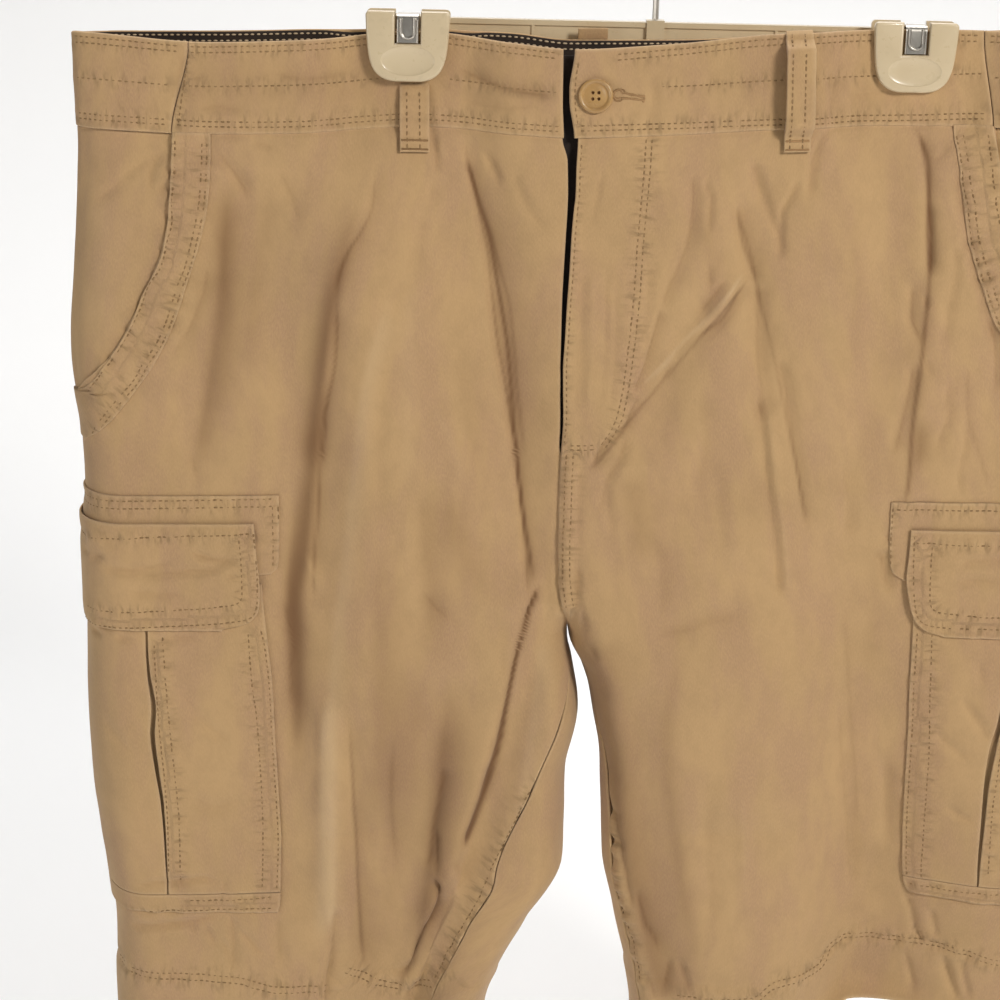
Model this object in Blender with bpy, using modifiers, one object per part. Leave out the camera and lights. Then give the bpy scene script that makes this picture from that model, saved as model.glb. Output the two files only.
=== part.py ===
"""Cargo shorts hung by the waistband from a two-clip hanger.

Lengths in the tables are millimetres from centre front: x to the viewer's right, y away from
the viewer, z up from the waist seam's top edge. The world's origin is the inner top of the
hanger's hook, and world lengths are metres.
"""

import math

import bmesh
import bpy
import numpy as np
from mathutils import Matrix

MM = 0.001
HOOK = np.array([45.0, 18.0, 100.0])  # inner top of the hook, from centre front at the waist

# Cloth
CLOTH = 1.2  # wall of a panel, turned edges included
BAND_WALL = 2.2  # a waistband is two layers and an interlining
GAP = 0.3  # between pieces that are sewn together
SIDE_TRIM, INNER_TRIM = 0.2, 0.4  # each panel's edge stops this far from its seam line
SIDE_ROUND = 26.0  # width of the rounded side fold
INNER_ROUND = 18.0  # width of the rounded fold at the inner leg
LOOP_GAP = 7.2  # how far the middle of a belt loop stands off the waistband
PINCHED = 3.5  # half thickness of the waistband between a clip's jaws

# Heights of the cut lines
WAIST_TOP = 4.0
WAIST_SEAM = -43.0
FLY_END = -207.0
HEM = -545.0
PATCH_TOP, PATCH_END = -232.0, -273.0
FLAP_TOP, FLAP_END = -247.0, -303.0
POCKET_BAND, POCKET_END = -454.0, -470.0

# Distances from the side seam along the cloth, forwards
BAND_EDGE = 20.0
SLIT_NEAR, SLIT_FAR = 58.0, 80.0
FLAP_EDGE, POCKET_EDGE, PATCH_EDGE = 116.0, 122.0, 125.5
POCKET_REAR = 84.0  # and backwards

# Clips and bar
CLIP_LEFT, CLIP_RIGHT = -82.0, 171.5
CLIP_WIDTH, CLIP_HEIGHT, CLIP_WALL = 42.0, 34.6, 3.6
CLIP_CENTRE = -5.7
NOTCH_WIDTH, NOTCH_DEPTH = 13.0, 16.0
SPRING_WIDTH, SPRING_WALL = 12.2, 0.8
BAR_TOP, BAR_HEIGHT, BAR_DEPTH = 6.8, 13.0, 7.0
RIBS = (-17.0, 106.5)  # cross ribs in the bar's channel
HANGER_TILT = math.radians(1.3)
WIRE = 3.2

LEFT, RIGHT = -1, 1
SIDES = {LEFT: "left", RIGHT: "right"}
FRONT, BACK = -1, 1

KHAKI = ((0.47, 0.30, 0.15), 0.9, 0.0)
DARK = ((0.03, 0.02, 0.012), 0.9, 0.0)
HORN = ((0.36, 0.22, 0.09), 0.4, 0.0)
CREAM = ((0.70, 0.58, 0.36), 0.35, 0.0)
STEEL = ((0.55, 0.53, 0.50), 0.3, 1.0)


def smooth(where, stations, values):
    """Smooth curve through the stations, with no overshoot between them."""
    step = np.diff(stations)
    rise = np.diff(values) / step
    slope = np.zeros(len(values))
    same = rise[:-1] * rise[1:] > 0
    before, after = rise[:-1][same], rise[1:][same]
    slope[1:-1][same] = 2 * before * after / (before + after)
    where = np.clip(where, stations[0], stations[-1])
    k = np.clip(np.searchsorted(stations, where) - 1, 0, len(step) - 1)
    s = (where - stations[k]) / step[k]
    start = values[k] * (1 + 2 * s) * (1 - s) ** 2 + values[k + 1] * s**2 * (3 - 2 * s)
    return start + step[k] * (slope[k] * s * (1 - s) ** 2 - slope[k + 1] * s**2 * (1 - s))


class Table:
    """A short table whose first column is the station and whose rows are read smoothly."""

    def __init__(self, names, *rows):
        data = np.array(sorted(rows), float)
        self.stations = data[:, 0]
        self.columns = dict(zip(names.split()[1:], data[:, 1:].T))

    def at(self, name, where):
        return smooth(np.asarray(where, float), self.stations, self.columns[name])


# Half sections, by height. outer and inner are distances outwards from the centre plane. front
# and back are depths from the mid-plane. closed is 0 where the halves meet at the centre and 1
# where a half is a leg. turn is how far the inner seam lies forwards of the inner fold.
SECTION = "height outer inner front back closed turn"
SECTIONS = {
    LEFT: Table(
        SECTION,
        (4, 250, 3.0, 11, 9, 0, 0),
        (-25, 250.5, 5.0, 14, 12, 0, 0),
        (-43, 250.5, 4.0, 16, 15, 0, 0),
        (-90, 253, 2.5, 20, 24, 0, 0),
        (-160, 259.5, 1.0, 24, 32, 0, 0),
        (-207, 256, 0.0, 27, 36, 0, 0),
        (-275, 257, 0.0, 32, 38, 0, 0),
        (-290, 257, 0.1, 33, 38, 0, 0),
        (-303, 257, 0.15, 34, 38, 0.5, 0),
        (-316, 257, 0.15, 35, 38, 1, 0),
        (-330, 257, -3.0, 36, 37, 1, 15),
        (-356, 256.5, -6.2, 37, 36, 1, 35),
        (-392, 256, -0.4, 38, 35, 1, 46),
        (-446, 253, 1.3, 39, 34, 1, 66),
        (-477, 251, 19, 39, 34, 1, 64),
        (-545, 252, 46, 38, 33, 1, 62),
    ),
    RIGHT: Table(
        SECTION,
        (4, 250, 0.0, 11, 9, 0, 0),
        (-25, 250.5, 0.0, 14, 12, 0, 0),
        (-43, 250.5, 0.0, 16, 15, 0, 0),
        (-90, 254, 0.0, 20, 24, 0, 0),
        (-160, 263, 0.0, 24, 32, 0, 0),
        (-207, 271, 0.0, 27, 36, 0, 0),
        (-275, 278, 0.0, 32, 38, 0, 0),
        (-290, 280, 0.1, 33, 38, 0, 0),
        (-303, 281, 0.15, 34, 38, 0.5, 0),
        (-316, 282, 1.5, 35, 38, 1, 0),
        (-330, 283, 8.0, 36, 37, 1, 8),
        (-356, 284, 14, 36, 36, 1, 14),
        (-392, 285, 19.5, 36, 35, 1, 20),
        (-446, 286, 20.5, 36, 34, 1, 24),
        (-477, 285, 27, 36, 34, 1, 25),
        (-545, 280, 39, 35, 33, 1, 26),
    ),
}

# Edges of the slant pocket, by height: distance of its mouth and of its stitched band's far
# edge from the centre plane. Where the mouth passes the side fold, the pocket ends.
MOUTHS = {
    LEFT: Table(
        "height mouth band",
        (4, 196, 182),
        (-43, 200, 183),
        (-89, 204.3, 188),
        (-120, 209.7, 196),
        (-151, 226.5, 210),
        (-172, 245.7, 224),
        (-184, 300, 234),
        (-205, 300, 300),
    ),
    RIGHT: Table(
        "height mouth band",
        (4, 206, 190),
        (-43, 212, 195.5),
        (-60, 215, 198),
        (-80, 218, 202),
        (-100, 222, 207.5),
        (-120, 229, 213.5),
        (-140, 238, 220),
        (-160, 254, 232),
        (-172, 300, 242),
        (-205, 300, 300),
    ),
}

MOUTH_FOOT = {LEFT: -184.0, RIGHT: -184.0}  # the row where each mouth has reached the side seam

# Seams between the front and the side waistbands, by height, out from the centre plane
BAND_JOINS = {
    LEFT: Table("height join", (4, 190), (-43, 200)),
    RIGHT: Table("height join", (4, 205.5), (-43, 211.5)),
}
# The waistbands' columns, out from the centre plane. Each clip's flat stretch has its own three.
BAND_STATIONS = {
    LEFT: (20, 40, 57, 82, 107, 130, 152, 174, 196, 214, 226),
    RIGHT: (20, 42, 64, 86, 108, 128, 146.5, 171.5, 196.5, 214, 226),
}
FRONT_REACH = {LEFT: 180, RIGHT: 200}  # the front waistbands' stations lie inside this

# How far the top edge lies above its level, by x. It sags between the clips.
SAG = Table(
    "x front back",
    (-250, 0.5, -0.5),
    (-180, -4.5, -0.5),
    (-120, -3.0, 0.5),
    (-82, 0.5, 1.0),
    (-30, -5.0, -1.5),
    (0, -8.0, -5.0),
    (50, -5.5, -5.0),
    (104, -0.5, -3.0),
    (171, 1.0, -1.0),
    (250, 0.0, 0.0),
)
SAG_FADE = 180.0

# Main folds. A fold follows x smoothly through three heights. It is a trough where its depth is
# positive and a ridge where it is negative, with a width of its own on each side.
FOLD = "z_top x_top z_mid x_mid z_end x_end left right depth_top depth_end"
FRONT_FOLDS = (
    (-40, -66, -140, -38, -290, -21, 26, 24, 6, 8),
    (-262, -10, -400, -41, -560, -86, 6, 12, 4, 13),
    (-320, -62, -420, -82, -560, -100, 26, 20, 4, 20),
    (-60, -160, -250, -130, -470, -156, 22, 22, 5, 4),
    (-70, -118, -250, -100, -420, -118, 26, 26, -4, -6),
    (-30, 150, -110, 161, -230, 150, 12, 16, 5, 3),
    (-60, 92, -110, 92, -200, 104, 13, 13, 4, 3),
    (-120, 72, -160, 54, -215, 38, 14, 14, 4, 5),
    (-230, 150, -400, 160, -560, 164, 30, 48, 4, 34),
    (-330, 34, -440, 44, -560, 62, 12, 16, 3, 8),
    (-230, 70, -330, 66, -420, 80, 40, 44, -5, -5),
)
BACK_FOLDS = (
    (-50, -82, -190, -66, -330, -58, 26, 26, 6, 6),
    (-50, 168, -190, 150, -330, 130, 26, 26, 6, 6),
    (-60, 40, -170, 30, -290, 14, 22, 22, 5, 8),
    (-70, -190, -220, -176, -400, -186, 24, 24, 5, 4),
    (-60, 226, -200, 216, -360, 206, 20, 24, 5, 4),
    (-320, -128, -440, -134, -560, -140, 26, 30, 5, 20),
    (-320, 120, -440, 132, -560, 128, 28, 26, 5, 20),
)
FOLD_FADE = 30.0

# Columns and rows that the cloth's points lie on
FORWARD = np.array([0, 9, BAND_EDGE, 37, SLIT_NEAR, SLIT_FAR, 98, FLAP_EDGE, POCKET_EDGE, PATCH_EDGE])
BACKWARD = np.array([0, 10, 24, 42, 62, POCKET_REAR])
FRONT_COLUMNS = 9  # more, spread evenly to the inner edge
BACK_COLUMNS = 10
CROWDING = 1.35
LEVELS = np.array(
    [WAIST_SEAM, -62, -86, -110, -135, -160, -184, FLY_END, PATCH_TOP, FLAP_TOP, PATCH_END, -290]
    + [FLAP_END, -316, -333, -360, -390, -422, POCKET_BAND, POCKET_END, -495, -520, HEM]
)
BAND_LEVELS = np.array([WAIST_TOP, -8, -20, -32, WAIST_SEAM])
OUTLINE_POINTS = 240


def fold_depth(folds, x, z):
    """How far the folds push the cloth inwards at (x, z)."""
    depth = np.zeros_like(x)
    for fold in folds:
        row = dict(zip(FOLD.split(), fold))
        top, end = row["z_top"], row["z_end"]
        levels = np.array([end, row["z_mid"], top], float)
        across = np.array([row["x_end"], row["x_mid"], row["x_top"]], float)
        line = smooth(np.asarray(z, float), levels, across)
        along = np.clip((top - z) / (top - end), 0, 1)
        size = row["depth_top"] + (row["depth_end"] - row["depth_top"]) * along
        ends = np.clip((top - z) / FOLD_FADE, 0, 1) * np.clip((z - end) / FOLD_FADE, 0, 1)
        width = np.where(x < line, row["left"], row["right"])
        depth += size * np.sin(ends * math.pi / 2) * np.exp(-(((x - line) / width) ** 2))
    return depth


def rounded(distance, width):
    """Quarter of an ellipse: 0 at an edge, 1 from the given width inwards."""
    return np.sqrt(np.maximum(1 - (1 - np.clip(distance / width, 0, 1)) ** 2, 0))


def inner_edge(distance, closed):
    """1 all over where the halves meet, and rounded down to 0 at the inner edge of a leg."""
    soft = (1 - np.clip(distance / INNER_ROUND, 0, 1)) ** 2
    full = 1 - rounded(distance, INNER_ROUND)
    return np.maximum(1 - closed * (soft + (full - soft) * closed**4), 0)


def pinch(x, z):
    """1 between the jaws of a clip, falling to 0 around them."""
    near = 0.0
    for centre in (CLIP_LEFT, CLIP_RIGHT):
        aside = np.clip((np.abs(x - centre) - 25) / 30, 0, 1)
        below = np.clip((-26 - z) / 50, 0, 1)
        near = np.maximum(near, (1 + np.cos(math.pi * aside)) * (1 + np.cos(math.pi * below)) / 4)
    return near


def depth_at(side, face, x, z):
    """y of the cloth's outer side at (x, z), on the front or the back."""
    table = SECTIONS[side]
    column, folds = ("front", FRONT_FOLDS) if face == FRONT else ("back", BACK_FOLDS)
    out = side * x
    edge = rounded(table.at("outer", z) - out, SIDE_ROUND)
    edge = edge * inner_edge(out - table.at("inner", z), table.at("closed", z))
    held = pinch(x, z)
    depth = table.at(column, z) * edge * (1 - held) + PINCHED * edge**0.2 * held
    return face * (depth - fold_depth(folds, x, z) * edge**2 * (1 - held))


class Section:
    """The horizontal section of one half at a level, read by distance from the side seam."""

    def __init__(self, side, z):
        self.side = side
        table = SECTIONS[side]
        outer, inner, turn = (float(table.at(name, z)) for name in ("outer", "inner", "turn"))
        eased = (1 - np.cos(np.linspace(0, math.pi, OUTLINE_POINTS))) / 2
        x = side * (outer + (inner - outer) * eased)
        own, ends = {}, {}
        for face in (FRONT, BACK):
            lengths, own[face] = self.measured(np.column_stack([x, depth_at(side, face, x, z)]))
            ends[face] = lengths[-1]
        self.front_end, self.back_end = ends[FRONT] - turn, ends[BACK] + turn
        joined = table.at("closed", z) > 0.999
        self.lines = {}
        for face, points in own.items():
            beyond = own[-face][-2::-1] if joined else points[-1:] + 4 * (points[-1:] - points[-2:-1])
            self.lines[face] = self.measured(np.vstack([points, beyond]))

    def measured(self, points):
        """(lengths, points) of a line, without points that coincide."""
        apart = np.linalg.norm(np.diff(points, axis=0), axis=1) > 1e-6
        points = points[np.concatenate([[True], apart])]
        steps = np.linalg.norm(np.diff(points, axis=0), axis=1)
        return np.concatenate([[0], np.cumsum(steps)]), points

    def at(self, distance):
        """(x, y) at distances from the side seam: forwards is positive, backwards negative."""
        out = []
        for face, sign in ((FRONT, 1), (BACK, -1)):
            length, points = self.lines[face]
            out.append(np.column_stack([np.interp(sign * distance, length, points[:, k]) for k in (0, 1)]))
        return np.where((distance >= 0)[:, None], out[0], out[1])

    def distance_to(self, out, face=FRONT):
        """Signed distance from the side seam to a distance outwards from the centre plane."""
        length, points = self.lines[face]
        first = np.argmin(self.side * points[:, 0]) + 1
        return -face * np.interp(-np.asarray(out, float), -self.side * points[:first, 0], length[:first])

    def crowded(self, face, start, end, count):
        """Distances after the start, up to the end, closer together towards the end.

        They are spaced by travel that counts depth less than width, so that the columns run
        straight down past the crotch, where the section's depth changes fast.
        """
        length, points = self.lines[face]
        travel = np.concatenate([[0], np.cumsum(np.abs(np.diff(points, axis=0)) @ [1, 0.3])])
        first, last = np.interp([start, end], length, travel)
        share = 1 - (1 - np.arange(1, count + 1) / count) ** CROWDING
        return np.interp(first + (last - first) * share, travel, length)


def lifted(points):
    """The points with the sag of the top edge added."""
    x, y, z = points.T
    fade = np.clip(1 + (z - WAIST_TOP) / SAG_FADE, 0, 1) ** 2
    forward = np.clip(0.5 - y / 6, 0, 1)
    sag = SAG.at("front", x) * forward + SAG.at("back", x) * (1 - forward)
    return np.column_stack([x, y, z + sag * fade])


def surface(side, rows, out, wall):
    """Outer and inner grids for rows of (level, distances): out is the lift of the outer one."""
    reach, outer, inner = 2.0, [], []
    out = np.broadcast_to(out, (len(rows), len(rows[0][1])))
    for (level, distances), moved in zip(rows, out):
        here = Section(side, level)
        z = np.full(len(distances), level)
        centre = lifted(np.column_stack([here.at(distances), z]))
        along = lifted(np.column_stack([here.at(distances + reach), z]))
        along -= lifted(np.column_stack([here.at(distances - reach), z]))
        up = 0
        for step in (reach, -reach):
            other = Section(side, level + step)
            forward, backward = other.front_end / here.front_end, other.back_end / here.back_end
            same = distances * np.where(distances > 0, forward, backward)
            up = up + np.sign(step) * lifted(np.column_stack([other.at(same), z + step]))
        normal = side * np.cross(up, along)
        normal /= np.linalg.norm(normal, axis=1)[:, None]
        outer.append(centre + normal * moved[:, None])
        inner.append(centre + normal * (moved - wall)[:, None])
    return np.array(outer), np.array(inner)


def front_distances(side, level):
    """Distances of a front panel's columns at a level."""
    section = Section(side, level)
    mouth = section.distance_to(MOUTHS[side].at("mouth", level))
    band = max(section.distance_to(MOUTHS[side].at("band", level)), mouth + 6)
    if mouth <= 0:
        mouth = 0.0
        band = max(band, BAND_EDGE)
    fixed = np.interp(FORWARD, [0, BAND_EDGE, PATCH_EDGE], [mouth, band, PATCH_EDGE])
    rest = section.crowded(FRONT, PATCH_EDGE, section.front_end, FRONT_COLUMNS)
    return np.concatenate([fixed, rest])


def back_distances(side, level):
    """Distances of a back panel's columns at a level, from the inner edge to the side seam."""
    section = Section(side, level)
    rest = section.crowded(BACK, POCKET_REAR, section.back_end, BACK_COLUMNS)
    return -np.concatenate([BACKWARD, rest])[::-1]


def trimmed(distances, first=GAP / 2, last=GAP / 2):
    """The distances with the two ends drawn in, to leave the gap at a seam."""
    toward = np.sign(distances[-1] - distances[0])
    distances = distances.astype(float).copy()
    distances[0] += toward * first
    distances[-1] -= toward * last
    return distances


def material(name, finish):
    """A plain Principled material."""
    if name in bpy.data.materials:
        return bpy.data.materials[name]
    colour, roughness, metallic = finish
    made = bpy.data.materials.new(name)
    made.use_nodes = True
    shader = made.node_tree.nodes["Principled BSDF"]
    shader.inputs["Base Color"].default_value = (*colour, 1)
    shader.inputs["Roughness"].default_value = roughness
    shader.inputs["Metallic"].default_value = metallic
    return made


def world(points):
    """Metres from the hook, for millimetres from centre front."""
    return (np.asarray(points, float) - HOOK) * MM


def cloth(name, walls, finish=KHAKI):
    """A closed wall lofted between an outer and an inner grid of points.

    Every cell is split along the same diagonal, so that a piece made from some of a panel's
    points lies parallel to it.
    """
    outer, inner = walls
    rows, columns = outer.shape[:2]
    index = np.arange(rows * columns).reshape(rows, columns)
    a, b, c, d = (part.ravel() for part in (index[:-1, :-1], index[1:, :-1], index[1:, 1:], index[:-1, 1:]))
    skin = np.concatenate([np.stack([a, b, c], axis=1), np.stack([a, c, d], axis=1)])
    edge = np.concatenate([index[0], index[1:, -1], index[-1, -2::-1], index[-2::-1, 0]])
    start, end, step = edge[:-1], edge[1:], rows * columns
    rim = [np.stack([start, end, end + step], axis=1), np.stack([start, end + step, start + step], axis=1)]
    faces = np.concatenate([skin, skin[:, ::-1] + step, *rim])
    mesh = bpy.data.meshes.new(name)
    mesh.from_pydata(world(np.concatenate([outer, inner]).reshape(-1, 3)).tolist(), [], faces.tolist())
    mesh.materials.append(material(name, finish))
    turned_out = bmesh.new()
    turned_out.from_mesh(mesh)
    bmesh.ops.recalc_face_normals(turned_out, faces=turned_out.faces)
    turned_out.to_mesh(mesh)
    turned_out.free()
    mesh.shade_smooth()
    mesh.set_sharp_from_angle(angle=math.radians(50))
    made = bpy.data.objects.new(name, mesh)
    PARTS.objects.link(made)
    return made


def make_panels(side):
    """Front and back panels of one half."""
    name = SIDES[side]
    front = [(z, trimmed(front_distances(side, z), SIDE_TRIM, INNER_TRIM)) for z in LEVELS]
    back = [(z, trimmed(back_distances(side, z), INNER_TRIM, SIDE_TRIM)) for z in LEVELS]
    cloth(f"front_{name}", surface(side, front, 0.0, CLOTH))
    cloth(f"back_{name}", surface(side, back, 0.0, CLOTH))


def make_pocket_mouth(side):
    """Facing behind the slant pocket's mouth, and the stitched band along the mouth."""
    name = SIDES[side]
    band, facing = [], []
    for z in LEVELS[LEVELS > FLY_END - 1]:
        columns = front_distances(side, z)
        band.append((z, columns[: list(FORWARD).index(BAND_EDGE) + 1]))
        if z > MOUTH_FOOT[side] - 1:
            under = np.linspace(0.6, max(columns[0], 3.0), 5)
            facing.append((z, np.append(under, columns[1])))
    cloth(f"pocket_band_{name}", surface(side, band, GAP + 0.8, 0.8))
    deep = np.full((len(facing), 1), -CLOTH - GAP - 0.3)
    deep[-2:, 0] -= (1.3, 4.6)
    cloth(f"pocket_facing_{name}", surface(side, facing, deep, 1.0))


def pocket_columns(first, last):
    """Distances of the cargo pocket's columns from first to last, on the panels' own columns."""
    every = np.concatenate([-BACKWARD[:0:-1], FORWARD])
    return every[(every >= first - 0.01) & (every <= last + 0.01)]


def bulge(levels, columns, height):
    """Extra lift below the flap, greatest in the middle of a grid and nothing at its edges."""
    down = np.clip((FLAP_END - levels) / (FLAP_END - POCKET_BAND), 0, 1)
    across = (columns - columns[0]) / (columns[-1] - columns[0])
    return height * np.sin(math.pi * down)[:, None] * np.sin(math.pi * np.clip(across, 0, 1)) ** 0.5


def make_cargo_pocket(side):
    """Patch, two pocket parts with the slit of the pleat between, bottom band and flap."""
    name = SIDES[side]
    wall = 1.0
    low, high = GAP + wall, 2 * (GAP + wall) + 0.5

    def piece(label, top, end, columns, lift):
        levels = LEVELS[(LEVELS <= top + 0.01) & (LEVELS >= end - 0.01)].astype(float)
        levels[0] -= GAP / 2
        levels[-1] += GAP / 2
        out = lift + (bulge(levels, columns, 2.5) if label in ("front", "rear") else 0)
        cloth(f"cargo_{label}_{name}", surface(side, [(z, columns) for z in levels], out, wall))

    slit = SLIT_NEAR if side == LEFT else SLIT_FAR
    piece("patch", PATCH_TOP, PATCH_END, pocket_columns(-POCKET_REAR, PATCH_EDGE), low)
    piece("front", PATCH_END, POCKET_BAND, trimmed(pocket_columns(slit, POCKET_EDGE), 1.0, 0.0), low)
    piece("rear", PATCH_END, POCKET_BAND, trimmed(pocket_columns(-POCKET_REAR, slit), 0.0, 1.0), low)
    piece("band", POCKET_BAND, POCKET_END, pocket_columns(-POCKET_REAR, POCKET_EDGE), low)
    piece("flap", FLAP_TOP, FLAP_END, pocket_columns(-POCKET_REAR, FLAP_EDGE), high)


def make_waistband(side):
    """Front waistband and side and back waistband of one half."""
    name = SIDES[side]
    front, back = [], []
    for z in BAND_LEVELS:
        level = max(z, WAIST_SEAM + GAP)
        section = Section(side, level)
        stations = np.array(BAND_STATIONS[side], float)
        join = float(section.distance_to(BAND_JOINS[side].at("join", z)))
        inner = section.distance_to(stations[stations < FRONT_REACH[side]][::-1])
        front.append((level, trimmed(np.concatenate([[join], inner, [section.front_end]]))))
        outer = section.distance_to(stations, BACK)
        around = np.concatenate([[-section.back_end], outer, [-24, -10, 0, 10, 24, join]])
        back.append((level, trimmed(around)))
    cloth(f"waistband_front_{name}", surface(side, front, 0.5, BAND_WALL))
    cloth(f"waistband_back_{name}", surface(side, back, 0.5, BAND_WALL))


def height_field(face, x_stations, levels, inward, wall):
    """Outer and inner grids over the front or back cloth, as far inside it as given."""
    outer, inner = [], []
    for z in levels:
        y = [float(depth_at(RIGHT if x > 0 else LEFT, face, np.array([x]), z)[0]) for x in x_stations]
        for grid, moved in ((outer, inward), (inner, inward + wall)):
            grid.append(lifted(np.column_stack([x_stations, np.array(y) - face * moved, np.full(len(y), z)])))
    return np.array(outer), np.array(inner)


def make_linings():
    """Dark facing inside the back waistband, and the shield behind the fly's edge."""
    behind_band = BAND_WALL - 0.5 + GAP + 0.3
    left, right = (np.array(BAND_STATIONS[side]) for side in (LEFT, RIGHT))
    stations = np.concatenate([-left[::-1], [0], right])
    facing = height_field(BACK, stations, [WAIST_TOP - 2.5, *BAND_LEVELS[1:-1], -41], behind_band, 0.8)
    cloth("waistband_facing", facing, DARK)
    levels = [0, *BAND_LEVELS[1:], *LEVELS[(LEVELS < WAIST_SEAM) & (LEVELS > FLY_END - 1)]]
    cloth("fly_shield", height_field(FRONT, np.linspace(-16, 26, 5), levels, behind_band + 0.1, 1.0), DARK)


def make_loop(name, side, face, centre, stand_off, low=-54.0, high=4.0, width=15.0):
    """A belt loop: a strip that is sewn down at both ends and stands off the band between."""
    wall = 1.4
    heights = np.array([low, low + 6, *np.linspace(low + 12, high - 10, 4), high - 4, high])
    rise = np.array([0, 0, 0.8, 1, 1, 0.8, 0.1, 0])
    grids = [], []
    for z, share in zip(heights, rise):
        middle = Section(side, z).distance_to(side * centre, face)
        distances = np.linspace(middle - width / 2, middle + width / 2, 3)
        out = 0.5 + GAP + 0.3 + wall + stand_off * share
        outer, inner = surface(side, [(z, distances)], out, wall)
        grids[0].append(outer[0])
        grids[1].append(inner[0])
    return cloth(name, [np.array(grid) for grid in grids])


def make_belt_loops():
    """Five loops. The clip presses the left front one flat."""
    make_loop("loop_front_left", LEFT, FRONT, -79, 1.6, high=-24)
    make_loop("loop_front_right", RIGHT, FRONT, 112.5, LOOP_GAP)
    make_loop("loop_back_left", LEFT, BACK, -226, LOOP_GAP)
    make_loop("loop_back_centre", RIGHT, BACK, 11, LOOP_GAP)
    make_loop("loop_back_right", RIGHT, BACK, 211, LOOP_GAP)


def turned(name, profile, finish, segments=24):
    """A shape turned about its local Z from an (r, z) profile in millimetres."""
    mesh = bpy.data.meshes.new(name)
    edges = [(k, k + 1) for k in range(len(profile) - 1)]
    mesh.from_pydata([(r * MM, 0, z * MM) for r, z in profile], edges, [])
    mesh.materials.append(material(name, finish))
    made = bpy.data.objects.new(name, mesh)
    PARTS.objects.link(made)
    screw = made.modifiers.new("turn", "SCREW")
    screw.steps = screw.render_steps = segments
    screw.use_merge_vertices = True
    screw.merge_threshold = 0.0001
    return made


def make_button():
    """Four-hole waist button with a raised rim, lying on the slope of the front band."""
    x, z, reach = 11.7, -26.5, 7.0
    level = z - float(SAG.at("front", x))
    heights = level + np.array([0, reach, -reach])
    y, above, below = (depth_at(RIGHT, FRONT, np.array([x]), height)[0] for height in heights)
    profile = [(0, 2.6), (6.0, 2.6), (7.2, 3.6), (8.2, 3.4), (8.7, 2.4), (8.2, 1.0), (6.0, 0), (0, 0)]
    made = turned("waist_button", profile, HORN)
    made.location = world([x, y - 0.5 - GAP, z]).tolist()
    made.rotation_euler = (math.radians(90) - math.atan2(above - below, 2 * reach), 0, 0)
    for k in range(4):
        angle = math.radians(45 + 90 * k)
        bpy.ops.mesh.primitive_cylinder_add(vertices=8, radius=1.0 * MM, depth=12 * MM)
        hole = bpy.context.object
        hole.name = f"button_hole_{k}"
        hole.parent = made
        hole.location = (2.1 * MM * math.cos(angle), 2.1 * MM * math.sin(angle), 0)
        as_cutter(hole)
        cut = made.modifiers.new(hole.name, "BOOLEAN")
        cut.operation = "DIFFERENCE"
        cut.object = hole


def as_cutter(made):
    """Moves an object to the cutters, which aren't part of the model."""
    for collection in list(made.users_collection):
        collection.objects.unlink(made)
    CUTTERS.objects.link(made)
    made.hide_render = True
    made.display_type = "WIRE"


def corner(x, z, radius, start, steps=5):
    """Points of a quarter circle about (x, z), counter-clockwise from the start angle."""
    angles = np.radians(start + np.linspace(0, 90, steps))
    return [(x + radius * math.cos(a), z + radius * math.sin(a)) for a in angles]


def plate(name, outline, depth, finish, across=False):
    """A flat outline in (x, z), or in (y, z) where across is set, with the given depth."""
    curve = bpy.data.curves.new(name, "CURVE")
    curve.dimensions = "2D"
    curve.fill_mode = "BOTH"
    curve.extrude = depth / 2 * MM
    spline = curve.splines.new("POLY")
    spline.points.add(len(outline) - 1)
    for point, (x, z) in zip(spline.points, outline):
        point.co = (x * MM, z * MM, 0, 1)
    spline.use_cyclic_u = True
    drawn = bpy.data.objects.new(name + "_outline", curve)
    PARTS.objects.link(drawn)
    mesh = bpy.data.meshes.new_from_object(drawn.evaluated_get(bpy.context.evaluated_depsgraph_get()))
    bpy.data.objects.remove(drawn)
    turn = Matrix.Rotation(math.radians(90), 4, "X")
    if across:
        turn = Matrix.Rotation(math.radians(90), 4, "Z") @ turn
    mesh.transform(turn)
    mesh.name = name
    mesh.materials.clear()
    mesh.materials.append(material(name, finish))
    made = bpy.data.objects.new(name, mesh)
    PARTS.objects.link(made)
    weld = made.modifiers.new("caps", "WELD")
    weld.merge_threshold = 0.00001
    return made


def jaw_outline():
    """Jaw with round lower corners and a notch for the spring in its top edge."""
    half, low, high = CLIP_WIDTH / 2, -CLIP_HEIGHT / 2, CLIP_HEIGHT / 2
    notch = NOTCH_WIDTH / 2
    outline = corner(half - 4, high - 4, 4, 0) + [(notch, high), (notch, high - NOTCH_DEPTH)]
    outline += [(-notch, high - NOTCH_DEPTH), (-notch, high)] + corner(-half + 4, high - 4, 4, 90)
    return outline + corner(-half + 11, low + 11, 11, 180) + corner(half - 11, low + 11, 11, 270)


def spring_outline(front, back):
    """Bent strip over the tops of the jaws, in (y, z) from the clip's centre."""
    foot, top = CLIP_HEIGHT / 2 - NOTCH_DEPTH + 0.6, CLIP_HEIGHT / 2 - 1.4
    bend = 3.0
    outline = []
    for inset, steps in ((0, 4), (SPRING_WALL, 3)):
        bends = [corner(back - bend, top - bend, bend - inset, 0, steps)]
        bends.append(corner(front + bend, top - bend, bend - inset, 90, steps))
        line = [(back - inset, foot), *bends[0], *bends[1], (front + inset, foot)]
        outline += line[::-1] if inset else line
    return outline


def hang(made, x, y, z, carrier):
    """Places a hanger piece by millimetres from centre front, in the tilted hanger."""
    made.parent = carrier
    made.location = world([x, y, z]).tolist()


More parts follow.
